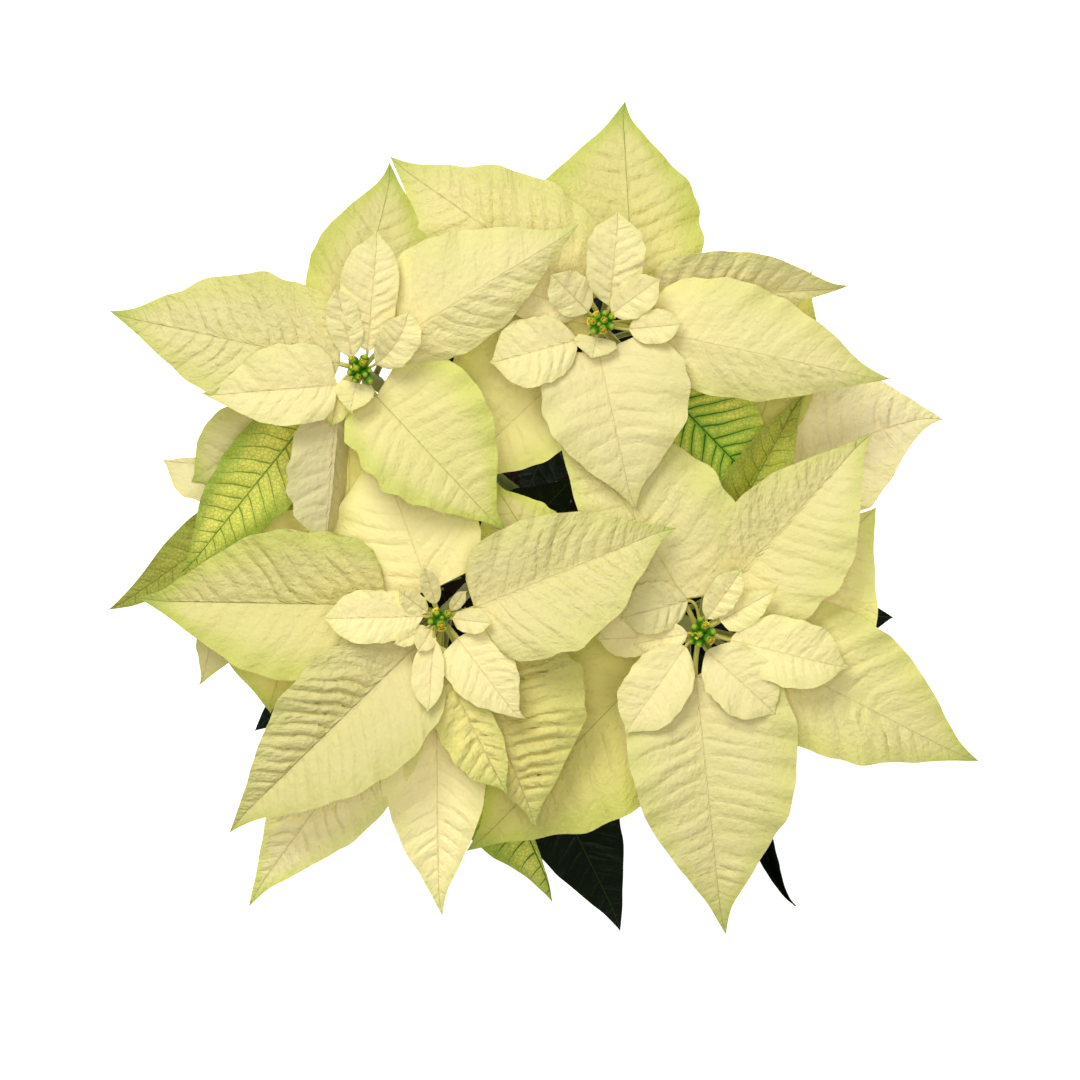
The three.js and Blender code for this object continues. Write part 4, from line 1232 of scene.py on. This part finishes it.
def soil(tree, material):
    """The potting mix: a rough mound round the stem, covered with crumbs."""
    floor = POT_FLOOR + GAP
    rim = inner_radius(SOIL_TOP) - GAP
    hole = STEM_RADIUS + GAP
    wall = [(hole, STEM_HOLE_FLOOR), (hole, SOIL_TOP + SOIL_MOUND - 0.5)]
    top = [(r, SOIL_TOP + SOIL_MOUND * (1 - (r / rim) ** 2)) for r in np.linspace(hole + 1, rim - 1, 40)]
    side = [(rim, SOIL_TOP - 1.5)] + [(inner_radius(z) - GAP, z) for z in (60, floor + SOIL_BEVEL)]
    foot = (inner_radius(floor) - GAP - SOIL_BEVEL, floor)
    points, faces = turned_profile([*wall, *top, *side, foot], SOIL_SIDES)
    draw = np.random.default_rng(8)
    for x, y, size in draw.uniform(-1, 1, (LUMPS, 3)):
        apart = (points[:, 0] - LUMP_SPREAD * x) ** 2 + (points[:, 1] - LUMP_SPREAD * y) ** 2
        near = np.exp(-(apart / (2 * LUMP_RADIUS**2)))
        points[:, 2] += np.where(points[:, 2] > SOIL_TOP - 1, size * LUMP_HEIGHT * near, 0)
    tones = {"tone": np.full(len(points), SOIL_TONE)}
    made = mesh_object("potting_soil", points * MM, [face[::-1] for face in faces], tones)
    settled(grown(made, tree, crumb=crumb_kinds(), material=material), ["soil"], "soil")


# ---------------------------------------------------------------- shared shader groups


def read(tree, *names):
    """The values that a piece's points hold under some names."""
    values = [node(tree, "ShaderNodeAttribute", attribute_name=name, out=2) for name in names]
    return values if len(values) > 1 else values[0]


def own_place(tree):
    """Where a point lies in its piece, in metres."""
    return node(tree, "ShaderNodeTexCoord", out=3)


def cells(place, scale, feature):
    return node(place.id_data, "ShaderNodeTexVoronoi", {"Vector": place, "Scale": scale}, feature=feature)


def vein_group():
    """Masks of a blade's midrib, side veins, fine net, margin, tip and base, the height of its fine relief,
    and the band along its veins."""
    wobble_scale, wobble_reach, blister_scale = 180.0, 0.0016, 420.0
    takes = {"Vein Width": 0.0004, "Net Size": 0.003, "Wrinkle Size": 0.004}
    gives = ["Midrib", "Side Veins", "Net", "Margin", "Tip", "Base", "Relief", "Halo"]
    tree, entry, leave = group_tree("blade_veins", "ShaderNodeTree", takes, gives)
    place, across, vein, puff = read(tree, "place", "across", "vein", "puff")
    reach = maths("ABSOLUTE", across)
    from_midrib = times(reach, read(tree, "half_width"))
    whole = maths("FRACT", plus(vein, 0.5))
    from_vein = times(maths("ABSOLUTE", minus(whole, 0.5)), times(read(tree, "vein_gap"), 0.8))

    taper = times(entry["Vein Width"], minus(1.5, place))
    midrib = fall(from_midrib, times(taper, 0.25), taper)
    thin = times(entry["Vein Width"], ramp(reach, 0.0, 1.0, 1.1, 0.5))
    side = times(fall(from_vein, 0.0, thin), fall(reach, 0.7, 0.98))
    spot = own_place(tree)
    bent = vector_maths("ADD", spot, scaled(noise(spot, wobble_scale, out=1), wobble_reach))
    net = fall(cells(bent, maths("DIVIDE", 1.0, entry["Net Size"]), "DISTANCE_TO_EDGE"), 0.0, 0.16)
    own = vector(
        times(vein, 1.6),
        maths("DIVIDE", from_midrib, entry["Wrinkle Size"]),
        plus(read(tree, "own_number"), maths("SIGN", across)),
    )
    wrinkle = noise(own, 1.0, 3.0)
    along_ribs = noise(vector_maths("MULTIPLY", own, (2.2, 0.45, 1.0)), 1.0)

    relief = plus(times(net, -0.1), times(side, -0.12))
    for height, share in [
        (midrib, -0.25), (wrinkle, 2.2), (along_ribs, 1.1), (noise(bent, blister_scale), 1.1),
    ]:
        relief = plus(relief, times(height, share))
    relief = times(relief, ramp(puff, 0.0003, 0.0014, 0.75, 1.3))
    crease = times(fall(from_vein, 0.0, 0.0012), fall(reach, 0.6, 0.95))
    crease = times(crease, times(maths("MINIMUM", puff, 0.0012), 300.0))
    nearest = maths("MINIMUM", from_vein, times(from_midrib, 0.6))

    made = {
        "Midrib": midrib,
        "Side Veins": side,
        "Net": net,
        "Margin": ramp(plus(reach, times(wrinkle, 0.1)), 0.5, 1.0),
        "Tip": ramp(place, 0.72, 1.0),
        "Base": fall(place, 0.0, 0.45),
        "Relief": minus(relief, crease),
        "Halo": fall(plus(nearest, times(wrinkle, 0.001)), 0.0004, 0.0026),
    }
    for name, value in made.items():
        tree.links.new(value, leave[name])
    return tree


def grain_group():
    """Broad and fine unevenness of a finish, and its height."""
    takes = {"Broad Scale": 40.0, "Fine Scale": 700.0}
    gives = ["Broad", "Fine", "Height"]
    tree, entry, leave = group_tree("uneven_finish", "ShaderNodeTree", takes, gives)
    spot = own_place(tree)
    broad = ramp(noise(spot, entry["Broad Scale"], 3.0), 0.3, 0.7)
    fine = ramp(noise(spot, entry["Fine Scale"], 4.0), 0.3, 0.7)
    height = plus(times(broad, 0.4), times(fine, 0.6))
    for name, value in zip(gives, (broad, fine, height)):
        tree.links.new(value, leave[name])
    return tree


def use_group(tree, group, **values):
    """Puts a shader group into a tree, with some of its inputs' values, and returns its outputs."""
    made = tree.nodes.new("ShaderNodeGroup")
    made.node_tree = group
    for key, value in values.items():
        made.inputs[key.replace("_", " ").title()].default_value = value
    return made.outputs


# ---------------------------------------------------------------- materials

# Red, green and blue display values from 0 to 255.
SHADES = {
    "cream": (238, 227, 157), "deeper cream": (235, 226, 149), "warm cream": (243, 229, 164),
    "pale cream": (252, 238, 175), "beige": (232, 219, 180), "yellow": (240, 228, 124),
    "green margin": (211, 215, 106), "green tip": (168, 186, 84), "vein": (220, 204, 122),
    "light vein": (246, 240, 176), "tan midrib": (222, 190, 124), "green midrib": (178, 190, 92),
    "bract underside": (222, 214, 160),
    "lime": (226, 224, 110), "deeper lime": (214, 212, 96), "green patch": (150, 188, 62),
    "green by the veins": (86, 152, 26), "dark margin": (92, 132, 36), "turning net": (98, 122, 36),
    "turning vein": (44, 88, 14), "turning underside": (180, 184, 120),
    "dark green": (15, 25, 12), "lighter green": (20, 33, 16), "leaf net": (10, 18, 9),
    "leaf vein": (52, 74, 40), "leaf midrib": (70, 92, 50), "leaf underside": (78, 102, 62),
    "young stalk": (214, 206, 104), "duller young stalk": (196, 194, 88),
    "old stalk": (104, 124, 58), "browned stalk": (122, 118, 66), "stalk grain": (150, 140, 70),
    "cup green": (54, 108, 10), "lighter cup green": (76, 130, 16), "cup top and painted highlight": (160, 180, 44),
    "gland yellow": (236, 218, 62), "ripe orange": (234, 142, 40),
    "bark": (120, 100, 66), "lighter bark": (142, 120, 84), "bark streak": (92, 74, 48),
    "cork": (186, 170, 134),
    "peat": (44, 32, 24), "dry peat": (66, 48, 34), "bark chip": (106, 76, 50),
    "perlite": (222, 218, 208),
    "terracotta": (176, 98, 66), "darker terracotta": (168, 90, 60), "flow mark": (150, 80, 54),
    "scuff": (204, 146, 118), "floor": (250, 250, 248),
}


def rgb(name):
    """A shade as a linear colour."""
    return (*[(c / 255) ** 2.2 for c in SHADES[name]], 1.0)


def new_material(name, **constants):
    """A material with a Principled shader, whose constants sit on the shader's own sockets."""
    material = bpy.data.materials.new(name)
    material.use_nodes = True
    shader = next(n for n in material.node_tree.nodes if n.type == "BSDF_PRINCIPLED")
    for key, value in constants.items():
        shader.inputs[key.replace("_", " ").title().replace("Ior", "IOR")].default_value = value
    return material, material.node_tree, shader


class Skin:
    """A material in the making: two shades in an uneven mix, with a broad and a fine scale, and tints."""

    def __init__(self, name, grain, scales, shades, **constants):
        self.material, self.tree, self.shader = new_material(name, **constants)
        self.uneven = use_group(self.tree, grain, broad_scale=scales[0], fine_scale=scales[1])
        self.colour = self.mix(*shades)

    def mix(self, shade, other):
        return blend(self.uneven["Broad"], rgb(shade), rgb(other))

    def tint(self, *tints):
        """Turns the colour to one named shade after another, each by its share."""
        for share, name in tints:
            self.colour = blend(share, self.colour, rgb(name))

    def rough(self, low, high):
        return ramp(self.uneven["Fine"], 0.0, 1.0, low, high)

    def ended(self, rough, height, distance):
        """The finished material, with its roughness and a bump that stands up by a distance in metres."""
        bump = {"Height": height, "Distance": distance, "Strength": 1.0}
        normal = node(self.tree, "ShaderNodeBump", bump)
        for name, value in {"Base Color": self.colour, "Roughness": rough, "Normal": normal}.items():
            self.tree.links.new(value, self.shader.inputs[name])
        return self.material


def bract_material(veins, grain):
    """Cream bracts, tinted blade by blade, greener at margins and tips, and lightened or darkened blade by
    blade, partly for their own colour and partly as painted light and shade.
    """
    shades = ("cream", "deeper cream")
    skin = Skin("cream_bract", grain, (38.0, 900.0), shades, specular_ior_level=0.25)
    vein = use_group(skin.tree, veins, vein_width=0.00034, net_size=0.0028, wrinkle_size=0.0035)
    green, beige, pale, deep, under = read(skin.tree, "green", "beige", "pale", "deep", "under")
    edge = plus(plus(times(vein["Margin"], 0.75), vein["Tip"]), 0.08)
    edge = times(edge, plus(green, 0.12))
    tip = times(maths("POWER", vein["Tip"], 3.0), maths("MULTIPLY", green, 1.4, True))
    lines = maths("ADD", times(vein["Side Veins"], 0.3), vein["Midrib"], True)
    green_lines = times(lines, maths("POWER", green, 3.0))
    skin.tint(
        (times(vein["Base"], 0.6), "warm cream"),
        (pale, "pale cream"),
        (times(beige, 0.6), "beige"),
        # deep turns a bract yellow: its own colour, and on bracts that lie low also painted olive shade.
        (times(deep, 0.8), "yellow"),
        (maths("MULTIPLY", edge, 1.0, True), "green margin"),
        (tip, "green tip"),
        (times(vein["Side Veins"], 0.2), "vein"),
        (times(vein["Side Veins"], times(deep, 0.6)), "light vein"),
        (times(vein["Midrib"], 0.45), "tan midrib"),
        (times(green_lines, 0.8), "green midrib"),
        (times(under, 0.35), "bract underside"),
    )
    # Painted light and shade: light scales each blade's colour, partly for its own lightness, partly to
    # lighten blades that lie in shadow or turn from the lamps and darken others.
    skin.colour = scaled(skin.colour, read(skin.tree, "light"))
    return skin.ended(skin.rough(0.5, 0.62), vein["Relief"], 0.00044)


def turning_material(veins, grain):
    """Leaves on their way from green to bract colour: green along the veins and at the margin, lightened or
    darkened leaf by leaf, partly for their own colour and partly as painted light and shade.
    """
    skin = Skin("turning_leaf", grain, (30.0, 800.0), ("lime", "deeper lime"), specular_ior_level=0.15)
    vein = use_group(skin.tree, veins, vein_width=0.0005, net_size=0.0019, wrinkle_size=0.004)
    green, deep, across, under = read(skin.tree, "green", "deep", "across", "under")
    patch = times(ramp(skin.uneven["Broad"], 0.35, 0.9), green)
    inner = ramp(maths("ABSOLUTE", across), 0.1, 0.8, 1.0, 0.45)
    glow = times(times(vein["Halo"], maths("POWER", green, 2.0)), inner)
    edge = times(maths("MAXIMUM", vein["Margin"], vein["Tip"]), deep)
    lines = maths("MAXIMUM", vein["Side Veins"], vein["Midrib"])
    skin.tint(
        (times(patch, 0.5), "green patch"),
        (times(glow, 0.85), "green by the veins"),
        (times(edge, 0.75), "dark margin"),
        (times(vein["Net"], 0.4), "turning net"),
        (times(lines, ramp(green, 0.1, 0.7, 0.35, 1.0)), "turning vein"),
        (times(under, 0.5), "turning underside"),
    )
    # Painted light and shade: light scales each leaf's colour, partly for its own lightness, partly to
    # lighten leaves that lie in shadow and darken others.
    skin.colour = scaled(skin.colour, read(skin.tree, "light"))
    return skin.ended(skin.rough(0.45, 0.58), vein["Relief"], 0.0003)


def leaf_material(veins, grain):
    """Dark foliage with paler veins and undersides."""
    shades = ("dark green", "lighter green")
    skin = Skin("dark_leaf", grain, (25.0, 800.0), shades, specular_ior_level=0.12)
    vein = use_group(skin.tree, veins, vein_width=0.0006, net_size=0.0034, wrinkle_size=0.004)
    skin.tint(
        (times(vein["Net"], 0.25), "leaf net"),
        (times(vein["Side Veins"], 0.16), "leaf vein"),
        (times(vein["Midrib"], 0.3), "leaf midrib"),
        (times(read(skin.tree, "under"), 0.75), "leaf underside"),
    )
    return skin.ended(skin.rough(0.38, 0.52), vein["Relief"], 0.0003)


def stalk_material(grain):
    """Petioles and green shoots: tone 0 is a bract's petiole and 1 an old green shoot."""
    shades = ("young stalk", "duller young stalk")
    skin = Skin("green_stalk", grain, (120.0, 1500.0), shades, specular_ior_level=0.4)
    old = skin.mix("old stalk", "browned stalk")
    skin.colour = blend(ramp(read(skin.tree, "tone"), 0.0, 1.0), skin.colour, old)
    skin.tint((times(skin.uneven["Fine"], 0.2), "stalk grain"))
    return skin.ended(skin.rough(0.42, 0.6), skin.uneven["Height"], 0.0002)


def cyathium_material(grain):
    """Green cups with lighter tops, partly painted highlight, yellow glands and lips, orange anthers, by
    tone.
    """
    shades = ("cup green", "lighter cup green")
    skin = Skin("cup_flower", grain, (500.0, 3000.0), shades, specular_ior_level=0.3)
    tone = read(skin.tree, "tone")
    skin.tint(
        # The lighter top: partly the bud's own colour, partly a painted highlight.
        (ramp(tone, 0.08, 0.3), "cup top and painted highlight"),
        (ramp(tone, 0.35, 0.55), "gland yellow"),
        (ramp(tone, 0.7, 1.0), "ripe orange"),
    )
    return skin.ended(skin.rough(0.3, 0.48), skin.uneven["Height"], 0.00008)


def bark_material(grain):
    """Woody stem with streaks along it and pale corky dots."""
    skin = Skin("woody_bark", grain, (90.0, 900.0), ("bark", "lighter bark"))
    spot = own_place(skin.tree)
    streak = ramp(noise(vector_maths("MULTIPLY", spot, (1.0, 1.0, 0.15)), 900.0, 3.0), 0.35, 0.65)
    cork = fall(cells(spot, 260.0, "F1"), 0.08, 0.2)
    skin.tint((times(streak, 0.5), "bark streak"), (times(cork, 0.7), "cork"))
    height = plus(plus(times(streak, -0.5), cork), skin.uneven["Height"])
    return skin.ended(ramp(streak, 0.0, 1.0, 0.72, 0.9), height, 0.0004)


def soil_material(grain):
    """Peat and bark by tone, with white perlite at tone 1."""
    skin = Skin("potting_mix", grain, (300.0, 2500.0), ("peat", "dry peat"))
    tone = read(skin.tree, "tone")
    skin.tint((ramp(tone, 0.15, 0.5), "bark chip"), (ramp(tone, 0.8, 0.95), "perlite"))
    return skin.ended(skin.rough(0.85, 1.0), skin.uneven["Height"], 0.0006)


def pot_material(grain):
    """Moulded terracotta-coloured plastic with faint flow marks and a scuffed foot."""
    shades = ("terracotta", "darker terracotta")
    skin = Skin("pot_plastic", grain, (22.0, 1400.0), shades, specular_ior_level=0.45)
    spot = own_place(skin.tree)
    height = node(skin.tree, "ShaderNodeSeparateXYZ", {0: spot}, out=2)
    scuffs = times(fall(height, 0.0, 0.02), ramp(noise(spot, 160.0, 6.0), 0.5, 0.62))
    lip = ramp(height, (POT_HEIGHT - 2) * MM, POT_HEIGHT * MM)
    worn = maths("MAXIMUM", times(scuffs, 0.5), times(lip, 0.25))
    skin.tint((times(skin.uneven["Fine"], 0.12), "flow mark"), (worn, "scuff"))
    rough = plus(skin.rough(0.42, 0.54), times(scuffs, 0.25))
    return skin.ended(rough, skin.uneven["Height"], 0.00006)


# ---------------------------------------------------------------- the plant


def plant():
    """The four heads with their shoots, the stem, the pot and the soil."""
    veins = vein_group()
    grain = grain_group()
    blade_skins = {
        "bract": bract_material(veins, grain),
        "turning": turning_material(veins, grain),
        "leaf": leaf_material(veins, grain),
    }
    stalk_skin = stalk_material(grain)
    cup_skin = cyathium_material(grain)
    relief = relief_tree()
    sweep = stalk_tree()
    cluster = cluster_tree()
    cups = cup_kinds()
    for number, head in enumerate(HEADS, start=1):
        for group, node_name, slot in (
            ("bracts", f"bracts_{number}", "bract"),
            ("leaves", f"leafy_shoot_{number}", "leaf"),
        ):
            for finish, skin in blade_skins.items():
                specs = [placed(spec, head) for spec in head[group] if spec["finish"] == finish]
                if specs:
                    name = f"{finish}_blades_{group}_{number}"
                    blades_piece(name, specs, skin, relief, node_name, slot)
        head_stalks(number, head, sweep, stalk_skin)
        leafy_stalks(number, head, sweep, stalk_skin)
        cyathia(number, head, cluster, cups, cup_skin)
    main_stem(sweep, bark_material(grain))
    pot(pot_material(grain))
    soil(crumb_tree(), soil_material(grain))


# ---------------------------------------------------------------- floor, light and camera

FLOOR_HALF_SIDE = 6.0
FLOOR_GLOW = 0.8
AIR_COLOUR = (1.0, 0.95, 0.81, 1)
AIR_STRENGTH = 0.24
LAMP_TARGET = (0, 0, 0.3)
# Name, place, width and power of each round lamp.
LAMPS = [
    ("key", (-0.785, 1.476, 2.292), 1.5, 42),
    ("overhead", (0.1, -0.1, 4.4), 2.4, 62),
]
CAMERA_PLACE = (0, -0.0138, 3.32)
LENS = 217.4
SENSOR_WIDTH = 36


def pale_floor():
    """A plain floor that glows a little, so that it stays pale."""
    side = FLOOR_HALF_SIDE
    corners = [(-side, -side, 0), (side, -side, 0), (side, side, 0), (-side, side, 0)]
    floor = mesh_object("floor", corners, [(0, 1, 2, 3)])
    looks = {"base_color": rgb("floor"), "roughness": 0.9, "specular_ior_level": 0.1}
    glow = {"emission_color": (1, 1, 1, 1), "emission_strength": FLOOR_GLOW}
    floor.data.materials.append(new_material("pale_floor", **looks, **glow)[0])
    floor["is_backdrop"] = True


def even_light():
    """Faint warm light from all round."""
    world = bpy.data.worlds.new("studio")
    bpy.context.scene.world = world
    world.use_nodes = True
    air = world.node_tree.nodes["Background"].inputs
    air["Color"].default_value = AIR_COLOUR
    air["Strength"].default_value = AIR_STRENGTH


def lamps():
    """A soft key light from +Y and a broad one overhead, both turned to the crown's middle."""
    for name, place, size, power in LAMPS:
        lamp = bpy.data.lights.new(name, "AREA")
        lamp.shape = "DISK"
        lamp.size = size
        lamp.energy = power
        made = bpy.data.objects.new(name, lamp)
        made.location = place
        x, y, z = np.array(LAMP_TARGET) - np.array(place)
        pitch = math.acos(-z / math.hypot(x, y, z))
        made.rotation_euler = (pitch, 0, math.atan2(y, x) - math.pi / 2)
        bpy.context.scene.collection.objects.link(made)


def camera():
    """Straight down on the plant."""
    lens = bpy.data.cameras.new("camera")
    lens.sensor_width = SENSOR_WIDTH
    lens.lens = LENS
    made = bpy.data.objects.new("camera", lens)
    made.location = CAMERA_PLACE
    bpy.context.scene.collection.objects.link(made)
    bpy.context.scene.camera = made


plant()
pale_floor()
even_light()
lamps()
camera()
bpy.context.scene.view_settings.view_transform = "Standard"

visual_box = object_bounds()
plain = lambda corners: [[round(float(value), 5) for value in corner] for corner in corners]
{"cad": plain(CAD_BOX), "visual": plain(visual_box)}
